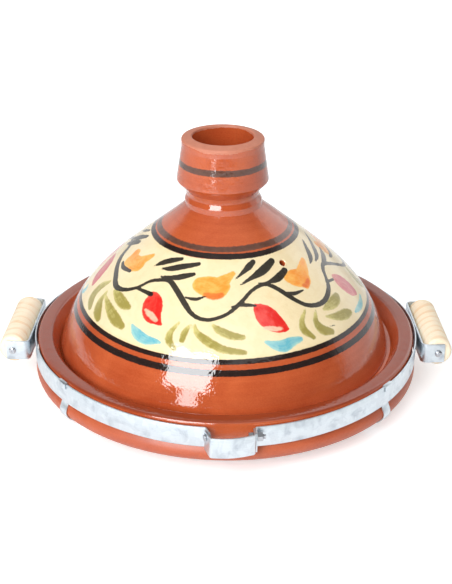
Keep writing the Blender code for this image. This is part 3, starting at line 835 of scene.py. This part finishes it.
# Orange fruit, each with its curled tip, and the riper colour at its foot
LEFT_FRUIT = [
    [(-73.5, 73.6, 5.6), (-68, 74.8, 7.6), (-63, 76.2, 6.2)],
    [(-73.4, 76, 5.2), (-74.8, 79.4, 4.2)],
    [(-65, 77.5, 5.2), (-61, 81.8, 3.4), (-58, 85.2, 1.6)],
]
MIDDLE_FRUIT = [
    [(-14.6, 77.3, 6.4), (-10, 76.8, 8.4), (-5.2, 76.3, 8.4), (-2.6, 77.4, 6.6)],
    [(-2.6, 79.6, 5.4), (1.6, 82.8, 3.2), (4.8, 85, 1.8)],
]
RIGHT_FRUIT = [
    [(40.2, 77.4, 4.8), (44.6, 75.8, 7.6), (48.6, 74.2, 7.4)],
    [(50, 76, 6.2), (55, 79.6, 4.4), (60, 83, 2.0)],
    [(48, 70.6, 3.4), (47.4, 69.4, 2.6)],
]
RIPE_MIDDLE = [[(-11, 72, 2.2), (-6.2, 71.2, 3.0), (-2.2, 72.4, 2.4)]]
RIPE_RIGHT = [[(45.6, 70.2, 1.6), (48.6, 70, 2.6), (51.4, 72.2, 1.6)]]

# Red tulips with the washed-out patch at their tips, and the two pink buds at the sides
LEFT_TULIP = [[
    (-39.6, 65.6, 2.6), (-37.6, 62.6, 6.4), (-36.4, 58.8, 8.8),
    (-34.6, 55, 7.6), (-31, 51.8, 3.4), (-28.2, 49.8, 0.8),
]]
RIGHT_TULIP = [[
    (14.8, 65, 2.2), (16.8, 62, 5.8), (19, 58, 8.6),
    (21.4, 54, 7.6), (24.4, 50.6, 4.4), (26.7, 48.4, 1.0),
]]
LEFT_WASH = [[(-38.8, 55.6, 1.1), (-35.4, 54, 2.6), (-31.6, 51.8, 1.8)]]
RIGHT_WASH = [[(16.6, 51.6, 1.4), (20.6, 50.4, 2.2), (24, 49.6, 1.2)]]
LEFT_BUD = [[(-96, 62, 3.8), (-91, 57.5, 7.6), (-88, 51.5, 7.8), (-84.4, 46, 3)]]
RIGHT_BUD = [[(71.4, 62.8, 3.6), (73, 58, 7.4), (74.6, 52.4, 7.8), (76.6, 47.4, 4)]]

# Blue leaves
LEFT_BLUE = [[(-41.4, 44, 1.2), (-37.8, 40.5, 4.3), (-33, 38.3, 4.2), (-28.6, 38.9, 2.5), (-26.3, 39, 1.2)]]
RIGHT_BLUE = [[(15.8, 43, 1.3), (19, 40.3, 3.6), (22.5, 38.7, 5.2), (26.5, 40.3, 4.1), (30.5, 40.6, 2.2)]]
SIDE_BLUE = [
    [(-89, 39, 1.5), (-87.5, 36, 3.6), (-90, 32.5, 1.6)],
    [(79.5, 41.5, 1.2), (74.5, 39, 3), (69, 38.5, 2.6), (65.5, 39, 1)],
]

# Olive leaves, fanned in fours
LEFT_OLIVE = [
    [(-72, 57.6, 1.2), (-75.4, 50, 3.8), (-75.2, 42.4, 4.4), (-70.6, 36.6, 2.4)],
    [(-67.7, 52.4, 0.9), (-67, 45, 3.2), (-64.4, 39.8, 4.4), (-60.6, 36, 2.6)],
    [(-66.2, 50, 0.9), (-58.6, 46, 3.2), (-51.2, 42.4, 4.2), (-45.8, 40.5, 2.4)],
    [(-63, 56.4, 2), (-57, 54.5, 3.8), (-51.6, 53, 3.6), (-48, 52.9, 1.8)],
]
MIDDLE_OLIVE = [
    [(-20.7, 53.6, 0.7), (-23, 47.6, 1.8), (-23, 42, 2.6), (-19.9, 36.8, 1.4)],
    [(-15.5, 53.3, 0.6), (-17.2, 48.4, 2.2), (-17.7, 43.2, 1.9)],
    [
        (-13.6, 53.6, 0.7), (-12.2, 49.2, 1.9), (-8.2, 45, 3.0),
        (-4.1, 41.6, 2.8), (0, 39.2, 2.5), (7, 37.4, 1.7),
    ],
    [(-5.7, 54.4, 0.9), (-3.2, 51.7, 2.5), (2, 48.3, 2.8), (6.8, 47.1, 1.8)],
]
RIGHT_OLIVE = [
    [(38.7, 57.0, 0.7), (34.6, 51.5, 1.8), (33.6, 45.4, 2.8), (36.4, 39.2, 1.6)],
    [(43.7, 54.2, 0.7), (41, 48, 2.2), (42, 41.8, 3.6), (46.2, 37.8, 2.2)],
    [(47.5, 48, 0.8), (53, 44.6, 2.9), (58.8, 42.6, 3.8), (62.4, 41.6, 2)],
    [(48.5, 52.6, 1.2), (54, 53, 3.8), (59.4, 53.8, 3.9), (62, 55, 2.2)],
]

# Where each front motif comes again on the back, in degrees further round
LEFT_AGAIN, MIDDLE_AGAIN, RIGHT_AGAIN = 166, 176, 183
SIDE_BLUE_ON, BUD_ON, TULIP_ON = 268, 116, 290


def moved_on(strokes, degrees):
    """The same strokes further round the lid."""
    return [[(turn + degrees, up, half) for turn, up, half in stroke] for stroke in strokes]


def repeated(left, middle, right=()):
    """The front's strokes, and each again on the back."""
    return (
        left + moved_on(left, LEFT_AGAIN) + middle + moved_on(middle, MIDDLE_AGAIN)
        + [*right] + moved_on(right, RIGHT_AGAIN)
    )


SPRAY_BROADER = 1.25
SPRAYS = [
    [(turn, up, half * SPRAY_BROADER) for turn, up, half in stroke]
    for stroke in repeated(LEFT_SPRAY, RIGHT_SPRAY) + FAR_LEFT_SPRAY + FAR_RIGHT_SPRAY
]
INKS = {
    "olive_leaves": repeated(LEFT_OLIVE, MIDDLE_OLIVE, RIGHT_OLIVE),
    "blue_leaves": repeated(LEFT_BLUE, RIGHT_BLUE) + SIDE_BLUE + moved_on(LEFT_BLUE, SIDE_BLUE_ON),
    "pink_buds": LEFT_BUD + RIGHT_BUD + moved_on(RIGHT_BUD, BUD_ON),
    "orange_fruit": repeated(LEFT_FRUIT, MIDDLE_FRUIT, RIGHT_FRUIT),
    "ripe_orange": repeated([], RIPE_MIDDLE, RIPE_RIGHT),
    "red_tulips": repeated(LEFT_TULIP, []) + RIGHT_TULIP + moved_on(LEFT_TULIP, TULIP_ON),
    "washed_red": repeated(LEFT_WASH, []) + RIGHT_WASH + moved_on(LEFT_WASH, TULIP_ON),
    "black_vine": [VINE] + SPRAYS + repeated(LEFT_TWIGS, MIDDLE_TWIGS, RIGHT_TWIGS) + LONE_TWIGS,
}

# Painted rings, as (lower edge, upper edge) above the rim
CREAM_ZONE = (33.3, 93.7)
BLACK_RINGS = [(30.0, 33.5), (93.5, 96.8), (21.7, 26.4)]
UMBER_RINGS = [(97.8, 101.2), (156.1, 161.5)]

# Where the glaze sags below the knob's rim, as (how deep, degrees to the right, how wide)
GLAZE_SAGS = [(2.4, -18, 24), (1.2, 30, 30)]

# What is stored where no paint is near, and how far from a stroke its distance is measured
OUT_OF_REACH = -6.0
NEAR_STROKE = 24

# How much broader than its half width each ink was laid, and where the brushwork sits as a whole
BROADER = {
    "olive_leaves": 1.25, "black_vine": 1.12, "orange_fruit": 1.12, "pink_buds": 1.1, "red_tulips": 1.08,
}
STROKES_TURN = 0.85
STROKES_DRAWN_IN = (0.5, 0.02)
STROKES_RAISED = 0.5
STROKES_TILT = 0.8
LEAVES_FOOT = 38


def flowing(points):
    """A smooth line through the points of a stroke."""
    points = np.array(points, float)
    knots = [2 * points[0] - points[1], *points, 2 * points[-1] - points[-2]]
    t = np.arange(STROKE_STEPS)[:, None] / STROKE_STEPS
    line = []
    for before, here, ahead, beyond in zip(knots, knots[1:], knots[2:], knots[3:]):
        bend = before - 2.5 * here + 2 * ahead - 0.5 * beyond
        swing = 3 * here - before - 3 * ahead + beyond
        line.append(here + 0.5 * t * (ahead - before) + t * t * bend + 0.5 * t**3 * swing)
    return np.vstack([*line, points[-1:]])


def placed(stroke, broader):
    """A stroke fitted to the dome: turned, drawn in at the sides, raised on the left, and broader."""
    fitted = []
    for turn, up, half in stroke:
        drawn_in = STROKES_DRAWN_IN[0] + STROKES_DRAWN_IN[1] * (up - LEAVES_FOOT)
        rightward = sin(radians(turn))
        turn += STROKES_TURN - drawn_in * rightward
        up += STROKES_RAISED - STROKES_TILT * rightward
        fitted.append((turn, up, half * broader))
    return fitted


class LidPoints:
    """The lid's points as degrees to the right of the front, and height above the rim."""

    def __init__(self, mesh):
        co = np.zeros(len(mesh.vertices) * 3)
        mesh.vertices.foreach_get("co", co)
        x, y, z = co.reshape(-1, 3).T / TO_METRES
        outer = [(point.x, point.y + LID_Z - RIM_Z) for point in dome_outside(steps=400)]
        outer = np.array(outer[::-1])
        steps = np.hypot(*np.diff(outer, axis=0).T)
        self.profile = outer[:, 1]
        self.length = np.concatenate(([0], np.cumsum(steps)))
        self.degrees = np.degrees(np.arctan2(x, -y))
        self.height = z - RIM_Z
        self.radius = np.hypot(x, y)
        self.run = self.run_at(self.height)
        dome = np.interp(self.height, self.profile, outer[:, 0])
        on_dome = (self.height > outer[0, 1] - 1) & (self.height < outer[-1, 1])
        self.painted = on_dome & (abs(self.radius - dome) < 0.8)
        above_dome = self.height >= outer[-1, 1] - 0.2
        self.outside = self.painted | (above_dome & (self.radius > KNOB_TOP_RADIUS - KNOB_WALL + 1.4))

    def run_at(self, height):
        """How far along the dome's side a height is, from the lid's edge upward."""
        return np.interp(height, self.profile, self.length)

    def brushed(self, strokes, broader):
        """How far inside the nearest stroke each point is, how far along it, and how far to its side."""
        inside = np.full(len(self.degrees), OUT_OF_REACH)
        share, side = np.zeros((2, len(self.degrees)))
        index = np.flatnonzero(self.painted)
        degrees, run, radius = self.degrees[index], self.run[index], self.radius[index]
        for stroke in strokes:
            line = flowing(placed(stroke, broader))
            runs = self.run_at(line[:, 1])
            count = len(line) - 1
            for step in range(count):
                turn = (degrees - line[step, 0] + 180) % 360 - 180
                across = np.radians(turn) * radius
                up = run - runs[step]
                near = np.flatnonzero((abs(across) < NEAR_STROKE) & (abs(up) < NEAR_STROKE))
                # Rightward and upward are a complex number's two parts.
                here = across[near] + 1j * up[near]
                along = np.radians(line[step + 1, 0] - line[step, 0]) * radius[near]
                along = along + 1j * (runs[step + 1] - runs[step])
                turned_level = here * along.conj()
                part = np.clip(turned_level.real / (abs(along) ** 2 + 1e-9), 0, 1)
                half = line[step, 2] + part * (line[step + 1, 2] - line[step, 2])
                depth = half - abs(here - part * along)
                better = depth > inside[index[near]]
                place = index[near][better]
                inside[place] = depth[better]
                share[place] = ((step + part) / count)[better]
                leftward = turned_level.imag / (abs(along) * half + 1e-9)
                side[place] = np.clip(leftward, -1.5, 1.5)[better]
        return inside, share, side

    def ringed(self, rings, wander=0.3):
        """How far inside the nearest painted ring each point is, with a hand's slight wander."""
        inside = np.full(len(self.degrees), OUT_OF_REACH)
        turn = np.radians(self.degrees)
        for number, (low, high) in enumerate(rings):
            sway = np.sin(2 * turn + number) + 0.6 * np.sin(5 * turn + 2.3 * number)
            middle = (low + high) / 2 + wander * 0.6 * sway
            half = (high - low) / 2 + wander * 0.35 * np.sin(3 * turn + 1.7 * number)
            inside = np.maximum(inside, half - abs(self.height - middle))
        return np.where(self.outside, inside, OUT_OF_REACH)

    def bare(self):
        """How far each point is beyond the glaze's ragged ends, at the knob's rim and the lid's seat."""
        turn = np.radians(self.degrees)
        top = LID_Z + LID_HEIGHT - RIM_Z
        edge = top - KNOB_TOP_SLOPE - 1.0 - 0.3 * np.sin(4 * turn + 1) - 0.3 * np.sin(9 * turn)
        for deep, middle, spread in GLAZE_SAGS:
            edge -= deep * np.exp(-(((self.degrees - middle) / spread) ** 2))
        cup_edge = top - 2.6 + 0.4 * np.sin(3 * turn)
        in_cup = self.radius < KNOB_TOP_RADIUS - KNOB_WALL + 0.8
        knob = self.height - np.where(in_cup, cup_edge, edge)
        seat = np.clip(LID_Z - RIM_Z + 0.8 - self.height, OUT_OF_REACH, 3)
        return np.where(self.height > top - 30, knob, seat)


def lean(mesh):
    """Moves the hand-thrown lid a little to the left, and its knob a little more."""
    for vert in mesh.vertices:
        share = part_way(vert.co.z / TO_METRES, KNOB_LEAN_FROM, KNOB_LEAN_FROM + KNOB_LEAN_OVER)
        vert.co.x -= (LID_SHIFT + KNOB_LEAN * share * share * (3 - 2 * share)) * TO_METRES


def make_lid(finish):
    """The lid, with what its paints need to know stored on its points."""
    shape = cut_away(lid_shape(), steam_hole_cutter())
    lid = add_piece("painted_lid", ["lid"], shape, finish, "lid")
    points = LidPoints(lid.data)
    along, side = np.zeros((2, len(points.degrees)))
    deepest = np.full(len(points.degrees), OUT_OF_REACH)
    layers = {}
    for name, strokes in INKS.items():
        layers[name], share, across = points.brushed(strokes, BROADER.get(name, 1))
        along = np.where(layers[name] > deepest, share, along)
        side = np.where(layers[name] > deepest, across, side)
        deepest = np.maximum(deepest, layers[name])
    layers.update(brush_along=along, brush_side=side, cream_slip=points.ringed([CREAM_ZONE]))
    layers.update(black_lines=points.ringed(BLACK_RINGS), umber_lines=points.ringed(UMBER_RINGS))
    layers.update(bare_clay=points.bare())
    for name, values in layers.items():
        layer = lid.data.attributes.new(name, "FLOAT", "POINT")
        layer.data.foreach_set("value", values.astype(np.float32))
    lean(lid.data)


# ---- The dish ----


def dish_side(steps):
    """The dish's outer side from under the rim's wall down to the heel."""
    wall_end = RIM_Z - WALL_HEIGHT
    heel = (HEEL_RADIUS, FOOT_Z + HEEL_RISE)
    drop = wall_end - heel[1]
    bulge = (RIM_RADIUS + WALL_BULGE, wall_end - drop * WALL_BULGE_AT)
    tuck = (RIM_RADIUS - WALL_BULGE / 4, heel[1] + drop * HEEL_TUCK_AT)
    return swept_curve((RIM_RADIUS, wall_end), bulge, tuck, heel, steps)


def make_dish(finish):
    hollow = FOOT_Z + FOOT_HOLLOW
    floor = hollow + DISH_FLOOR
    ledge_outer = LID_RADIUS + LID_PLAY
    inside = rounded([
        (0, floor, 0),
        (BOWL_RADIUS, floor, BOWL_ROUND),
        (ledge_outer - LEDGE_WIDTH, LEDGE_Z, LEDGE_EDGE_ROUND),
        (ledge_outer, LEDGE_Z, LEDGE_ROUND),
        (RIM_RADIUS - RIM_WIDTH, RIM_Z, RIM_INNER_ROUND),
        (RIM_RADIUS, RIM_Z, RIM_ROUND),
        (RIM_RADIUS, RIM_Z - WALL_HEIGHT, 0),
    ])
    foot = rounded([
        (HEEL_RADIUS, FOOT_Z + HEEL_RISE, 0),
        (FOOT_RADIUS, FOOT_Z, FOOT_ROUND),
        (FOOT_RADIUS - FOOT_WIDTH, FOOT_Z, FOOT_INNER_ROUND),
        (FOOT_RADIUS - FOOT_WIDTH - FOOT_HOLLOW, hollow, FOOT_INNER_ROUND),
        (0, hollow, 0),
    ])
    shape = turned(inside[:-1] + dish_side(steps=28) + foot[1:], DISH_STEPS)
    add_piece("glazed_dish", ["dish"], shape, finish)


# ---- The band, its clasp and the straps ----


def clasp_place():
    """On the dish's axis at the clasp's height: X points outward, Y to the right along the band."""
    return moved(0, 0, BAND_Z - CLASP_SAG) @ Matrix.Rotation(CLASP_TURN - pi / 2, 4, "Z")


def ear_root(side):
    """Where an ear leaves the band's round. Side is -1 left and 1 right."""
    return Vector((sqrt(BAND_MIDDLE**2 - CLASP_HALF_GAP**2), side * CLASP_HALF_GAP))


def ear_direction(side):
    lean_out = LEFT_EAR_LEAN if side < 0 else RIGHT_EAR_LEAN
    return Vector((cos(lean_out), sin(lean_out)))


def ear_away(side):
    """Square to an ear, away from the clasp's middle."""
    return ear_direction(side).orthogonal() * side


def make_band(finish):
    """The band, lower at the clasp and at the back."""
    half = asin(CLASP_HALF_GAP / BAND_MIDDLE)
    left, right = [
        [(*(ear_root(side) + ear_direction(side) * EAR_LENGTH), 0), (*ear_root(side), EAR_BEND)]
        for side in (-1, 1)
    ]
    turns = [half + (2 * pi - 2 * half) * step / BAND_STEPS for step in range(1, BAND_STEPS)]
    ring = [(BAND_MIDDLE * cos(turn), BAND_MIDDLE * sin(turn), 0) for turn in turns]
    path = rounded(right + ring + left[::-1])
    rises = []
    for point in path:
        turn = abs(atan2(point.y, point.x))
        back = BAND_BACK_DROP * softly(turn, BAND_BACK_FROM, BAND_BACK_FULL)
        rises.append(CLASP_SAG * softly(turn, half, CLASP_SAG_END) - back)
    shape = bent_strip(path, BAND_WIDTH, BAND_THICK, corner=1.2, rises=rises)
    add_piece("carrying_band", ["band"], shape, finish, place=clasp_place())


def make_bridge(finish):
    """The strip that joins the ears. Its left leg lies outside its ear and its right leg inside."""
    inset = BAND_THICK / 2 + GAP + BRIDGE_THICK / 2
    legs = []
    for side in (-1, 1):
        plate_out = BAND_OUTER + CLASP_STANDOFF - side * CLASP_SKEW - BRIDGE_THICK / 2
        along = ear_direction(side)
        line = ear_root(side) - ear_away(side) * side * inset
        foot = line + along * (BAND_OUTER + BRIDGE_FOOT - line.x) / along.x
        corner = line + along * (plate_out - line.x) / along.x
        legs.append([(*foot, 0), (*corner, BRIDGE_BEND)])
    left, right = legs
    plate = []
    for step in range(1, BRIDGE_STEPS):
        share = step / BRIDGE_STEPS
        place = Vector(left[1][:2]).lerp(Vector(right[1][:2]), share)
        plate.append((place.x + BRIDGE_BOW * sin(pi * share), place.y, 0))
    path = rounded(left + plate + right[::-1])
    rises = [BRIDGE_SLANT * point.y for point in path]
    shape = bent_strip(path, BAND_WIDTH, BRIDGE_THICK, corner=0.8, rises=rises)
    add_piece("clasp_strip", ["clasp_bridge"], shape, finish, place=clasp_place())


def hexagon(height):
    """A hexagonal prism on z = 0 with its corners taken off at the top."""
    shape = bmesh.new()
    corner = HEX_WIDTH / sqrt(3)
    sizes = {"segments": 6, "radius1": corner, "radius2": corner, "depth": height}
    bmesh.ops.create_cone(shape, cap_ends=True, matrix=moved(0, 0, height / 2), **sizes)
    top = [edge for edge in shape.edges if all(vert.co.z > height - 0.01 for vert in edge.verts)]
    bmesh.ops.bevel(shape, geom=top, affect="EDGES", offset=HEX_CORNER, segments=2, profile=0.5, material=-1)
    return shape


def threaded_shank():
    """The bolt's threaded shank, from a little inside its head downward."""
    outline = [(0, THREAD_START), (BOLT_RADIUS, THREAD_START), (BOLT_RADIUS, 0)]
    for turn in range(int(BOLT_LENGTH / THREAD_PITCH) - 1):
        top = -THREAD_START - turn * THREAD_PITCH
        outline += [(BOLT_RADIUS, top), (BOLT_RADIUS - THREAD_DEPTH, top - THREAD_PITCH * 0.5)]
    tip = BOLT_RADIUS - BOLT_TIP_CHAMFER
    outline += [(BOLT_RADIUS, BOLT_TIP_CHAMFER - BOLT_LENGTH), (tip, -BOLT_LENGTH), (0, -BOLT_LENGTH)]
    return turned(outline, SMALL_STEPS)


def make_bolt(name, finish, place):
    shape = hexagon(BOLT_HEAD_HEIGHT)
    shank = threaded_shank()
    face_outward(shank)
    shape.from_mesh(mesh_of(shank))
    add_piece(name + "_hex", [name], shape, finish, place=place)


def make_nut(name, finish, place):
    shape = hexagon(NUT_HEIGHT)
    top = [face for face in shape.faces if face.normal.z > 0.9]
    for thickness, depth in NUT_INSETS:
        bmesh.ops.inset_region(shape, faces=top, thickness=thickness, depth=depth)
    add_piece(name + "_hex", [name], shape, finish, place=place)


def make_rivet(name, finish, place, outside, inside, head):
    """A rivet along its own Z, with its head from the height outside and its tail from inside."""
    head_radius, head_height = head
    outline = rounded([
        (0, outside + head_height, 0),
        (head_radius, outside + head_height, 0.7 * head_height),
        (head_radius, outside, 0),
        (RIVET_RADIUS, outside, 0),
        (RIVET_RADIUS, inside, 0),
        (RIVET_TAIL_RADIUS, inside, 0),
        (RIVET_TAIL_RADIUS, inside - RIVET_TAIL_HEIGHT, 0.4),
        (0, inside - RIVET_TAIL_HEIGHT, 0),
    ])
    add_piece(name + "_stud", [name], turned(outline, SMALL_STEPS), finish, place=place)


def make_clasp(steel, zinc):
    make_bridge(steel)
    place = clasp_place()
    near = BAND_THICK / 2 + GAP
    far = near + BRIDGE_THICK + GAP
    points = []
    for side in (-1, 1):
        middle = ear_root(side) + ear_direction(side) * BOLT_ALONG_EAR
        away = place.to_3x3() @ Vector((*ear_away(side), 0))
        points.append((place @ Vector((*middle, CLASP_PIN_RISE)), away))
    (left, left_away), (right, right_away) = points
    make_rivet("clasp_rivet", zinc, aimed(left, left_away), far, -near, CLASP_RIVET_HEAD)
    make_bolt("clasp_bolt", zinc, aimed(right - right_away * far, -right_away))
    make_nut("clasp_nut", zinc, aimed(right + right_away * near, right_away))


def strap_half(lift, band_drop):
    """Half of a strap's middle line, from the tab outside the band to the middle underneath."""
    inset = GAP + STRAP_THICK / 2
    band_top = BAND_Z + BAND_WIDTH / 2 - band_drop
    under = dish_side(steps=14) + [Vector((FOOT_RADIUS, FOOT_Z)), Vector((0, FOOT_Z))]
    below = moved_sideways(under, inset)[:-1]
    hook = rounded([
        (BAND_OUTER + inset, band_top - STRAP_TAB, 0),
        (BAND_OUTER + inset, band_top + inset, STRAP_BEND),
        (RIM_RADIUS + inset, band_top + inset, STRAP_BEND),
        (RIM_RADIUS + inset, below[0].y + 1, 0),
    ])
    floor = FOOT_Z - inset
    middle = [Vector((STRAP_JOG_START, floor)), Vector((STRAP_JOG_END, floor + lift))]
    return hook + below[1:] + (middle if lift else [])


def make_strap(name, finish, angle, lift):
    """A strap under the dish, with its rear hook as low as the band's back."""
    drops = (BAND_BACK_DROP, 0) if angle > 0 else (0, BAND_BACK_DROP)
    half, mirrored = [strap_half(lift, drop) for drop in drops]
    other = [Vector((-point.x, point.y)) for point in reversed(mirrored)]
    place = Matrix.Rotation(angle, 4, "Z") @ Matrix.Rotation(pi / 2, 4, "X")
    shape = bent_strip(half + other, STRAP_WIDTH, STRAP_THICK, corner=0.8, edge=0.18)
    add_piece(name + "_strip", [name], shape, finish, place=place)


# ---- The handles ----


def make_bracket(name, finish, place):
    middle = (WEB_INNER + WEB_OUTER) / 2
    leg = (LEG_INNER + LEG_OUTER) / 2
    tip = GRIP_AXIS + BRACKET_LEG_END
    corners = [(tip, -leg, 0), (middle, -leg, BRACKET_BEND), (middle, leg, BRACKET_BEND), (tip, leg, 0)]
    shape = bent_strip(rounded(corners), BAND_WIDTH, BRACKET_THICK, corner=0.9)
    add_piece(name + "_strip", [name], shape, finish, place=place)


def make_grip(name, finish, place, body):
    end = GRIP_LENGTH / 2
    radius = GRIP_RADIUS + GRIP_FULLER
    outline = rounded([(0, end, 0), (radius, end, GRIP_ROUND), (radius, -end, GRIP_ROUND), (0, -end, 0)])
    shape = turned(closely_spaced(outline, spacing=4), steps=72)
    lying = place @ moved(GRIP_AXIS, 0, 0) @ Matrix.Rotation(pi / 2, 4, "X")
    add_piece(name + "_dowel", [name], shape, finish, body, lying)


def recess_bar(turn):
    """A cutter for one bar of a screw head's cross recess."""
    shape = bmesh.new()
    place = Matrix.Rotation(turn, 4, "Z") @ moved(0, 0, HEAD_HEIGHT + 0.35)
    made = bmesh.ops.create_cube(shape, size=1, matrix=place @ Matrix.Diagonal((*RECESS_BAR, 1)))
    low = [vert for vert in made["verts"] if vert.co.z < HEAD_HEIGHT]
    bmesh.ops.scale(shape, verts=low, vec=(RECESS_TAPER, RECESS_TAPER, 1))
    return shape


def make_screw(name, finish, place, body):
    head = rounded([
        (0, HEAD_HEIGHT, 0),
        (HEAD_RADIUS * 0.55, HEAD_HEIGHT, 2),
        (HEAD_RADIUS, HEAD_HEIGHT * 0.45, 0.9),
        (HEAD_RADIUS, 0, 0.3),
        (SCREW_RADIUS, 0, 0),
    ])
    shank = [(SCREW_RADIUS, SCREW_TIP - SCREW_LENGTH), (0, -SCREW_LENGTH)]
    shape = turned(head + shank, SMALL_STEPS)
    for turn in RECESS_TURNS:
        shape = cut_away(shape, recess_bar(turn))
    add_piece(name + "_pan", [name], shape, finish, body, place)


def make_handle(side, label, steel, zinc):
    """One bracket with its grip, screws and rivets. Side is -1 left and 1 right."""
    place = moved(0, 0, BAND_Z) @ Matrix.Rotation(handle_angle(side), 4, "Z")
    body = f"{label}_handle"
    make_bracket(f"{label}_bracket", steel, place)
    make_grip(f"{label}_grip", ("pine", make_pine_material(f"{label}_pine", side)), place, body)
    rearward = (place.to_3x3() @ Vector((0, 1, 0))) * side
    inside = sqrt(BAND_INNER**2 - (RIVET_OFFSET + RIVET_TAIL_RADIUS) ** 2) - GAP
    for end, spot in ((-1, "front"), (1, "rear")):
        along = end * side
        seat = place @ Vector((GRIP_AXIS, along * (LEG_OUTER + GAP), 0))
        make_screw(f"{label}_{spot}_screw", zinc, aimed(seat, rearward * end), body)
        level = place @ moved(0, along * RIVET_OFFSET, 0) @ Matrix.Rotation(pi / 2, 4, "Y")
        make_rivet(f"{label}_{spot}_rivet", steel, level, WEB_OUTER + GAP, inside, BRACKET_RIVET_HEAD)


# ---- Studio ----

CAMERA_RISE = radians(26)
CAMERA_ROLL = radians(0.45)
CAMERA_LENS = 75.07
CAMERA_DISTANCE = 1.1
CAMERA_AIM = (0, 0, 0.08337)
LAMP_AIM = (0, 0, 0.1)
FLOOR_MIRRORED = 0.33
DAYLIGHT = (0.97, 0.985, 1.0)
PLAIN_LIGHT = (1, 1, 1)

# Soft boxes: name, degrees to the right of the front, degrees above level, distance, width and height
# in metres, power and colour
LAMPS = [
    ("window_box", -25, 28, 1.5, 0.80, 0.72, 19.5, DAYLIGHT),
    ("window_foot", -22.5, 8, 1.5, 0.30, 0.32, 2.4, DAYLIGHT),
    ("side_box", 136, 24, 1.6, 0.9, 1.2, 2.2, PLAIN_LIGHT),
    ("front_fill", 25, 50, 2.4, 1.6, 1.2, 5, PLAIN_LIGHT),
    ("back_fill", 170, 50, 2.0, 1.4, 1.0, 3, PLAIN_LIGHT),
]


def make_camera():
    """The photograph's view: 26 degrees above level, 1.1 m from a point above the dish."""
    data = set_up(bpy.data.cameras.new("camera"), lens=CAMERA_LENS, sensor_width=36, clip_end=50)
    camera = set_out("camera", data)
    turn = Matrix.Rotation(pi / 2 - CAMERA_RISE, 4, "X") @ Matrix.Rotation(CAMERA_ROLL, 4, "Z")
    camera.matrix_world = moved(*CAMERA_AIM) @ turn @ moved(0, 0, CAMERA_DISTANCE)
    bpy.context.scene.camera = camera


def make_lamp(name, heading, height, distance, width, tall, power, colour):
    """A soft box aimed at the pot."""
    data = bpy.data.lights.new(name, "AREA")
    set_up(data, shape="RECTANGLE", size=width, size_y=tall, energy=power, color=colour)
    turn, rise = radians(heading), radians(height)
    away = Vector((sin(turn) * cos(rise), -cos(turn) * cos(rise), sin(rise)))
    set_out(name, data).matrix_world = moved(*LAMP_AIM) @ aimed(away * distance, away)


def rays(tree, kind):
    """1 where the light is followed for one kind of ray, and 0 elsewhere."""
    return node(tree, "LightPath", gives=f"Is {kind} Ray")


def make_world():
    """White to the camera and behind the pot, dark where it mirrors the front, and soft bright above."""
    world = bpy.data.worlds.new("studio")
    bpy.context.scene.world = world
    world.use_nodes = True
    tree = world.node_tree
    x, y, z = parts_of(node(tree, "TexCoord", gives="Generated"))
    behind = eased(x * 0.284 + y * 0.959, 0.16, 0.42)
    ceiling = eased(z, 0.6, 1.0, 0.0, 0.3)
    mirrored = maths("MAXIMUM", behind * eased(z, 0.85, 0.45) * 0.88 + 0.08, ceiling)
    fill = eased(z, 0.45, 1.0, 0.13, 1.0)
    lit = rays(tree, "Glossy") * (mirrored - fill) + fill
    plain = maths("MAXIMUM", rays(tree, "Camera"), rays(tree, "Transmission"))
    strength = maths("MAXIMUM", lit, plain)
    feed(tree, tree.nodes["Background"].inputs, {"Color": WHITE, "Strength": strength})


def make_floor():
    """A wide white floor that keeps the pot's soft shadow."""
    shape = bmesh.new()
    bmesh.ops.create_grid(shape, x_segments=1, y_segments=1, size=6)
    floor = set_out("floor", mesh_of(shape, "floor"))
    made, tree, place = new_material("floor_white")
    x, y = parts_of(place)[:2]
    far = eased(maths("SQRT", x * x + y * y), 0.24, 1.2, 0.5, 0.9)
    mirrored = maths("MAXIMUM", rays(tree, "Glossy"), rays(tree, "Transmission")) * FLOOR_MIRRORED
    bright = maths("MAXIMUM", rays(tree, "Camera") * far, mirrored)
    feed(tree, tree.nodes["Principled BSDF"].inputs, {
        "Base Color": blended(mottling(place, 3.0), (0.80, 0.80, 0.80, 1), (0.82, 0.82, 0.82, 1)),
        "Roughness": 0.9,
        "Specular IOR Level": 0.1,
        "Emission Color": node(tree, "CombineXYZ", {"X": bright, "Y": bright, "Z": bright}),
        "Emission Strength": 1.0,
    })
    floor.data.materials.append(made)


def main():
    steel = ("galvanised_steel", make_steel_material(*STRIP_LOOK))
    zinc = ("zinc_steel", make_steel_material(*FASTENER_LOOK))
    make_lid(("lid_glaze", make_lid_material()))
    make_dish(("dish_glaze", make_dish_material()))
    make_band(steel)
    make_clasp(steel, zinc)
    make_strap("strap_upper", steel, STRAP_ANGLE, STRAP_THICK + GAP)
    make_strap("strap_lower", steel, -STRAP_ANGLE, 0)
    make_handle(-1, "left", steel, zinc)
    make_handle(1, "right", steel, zinc)
    make_camera()
    make_world()
    make_floor()
    for lamp in LAMPS:
        make_lamp(*lamp)
    bpy.context.scene.view_settings.view_transform = "Standard"


main()
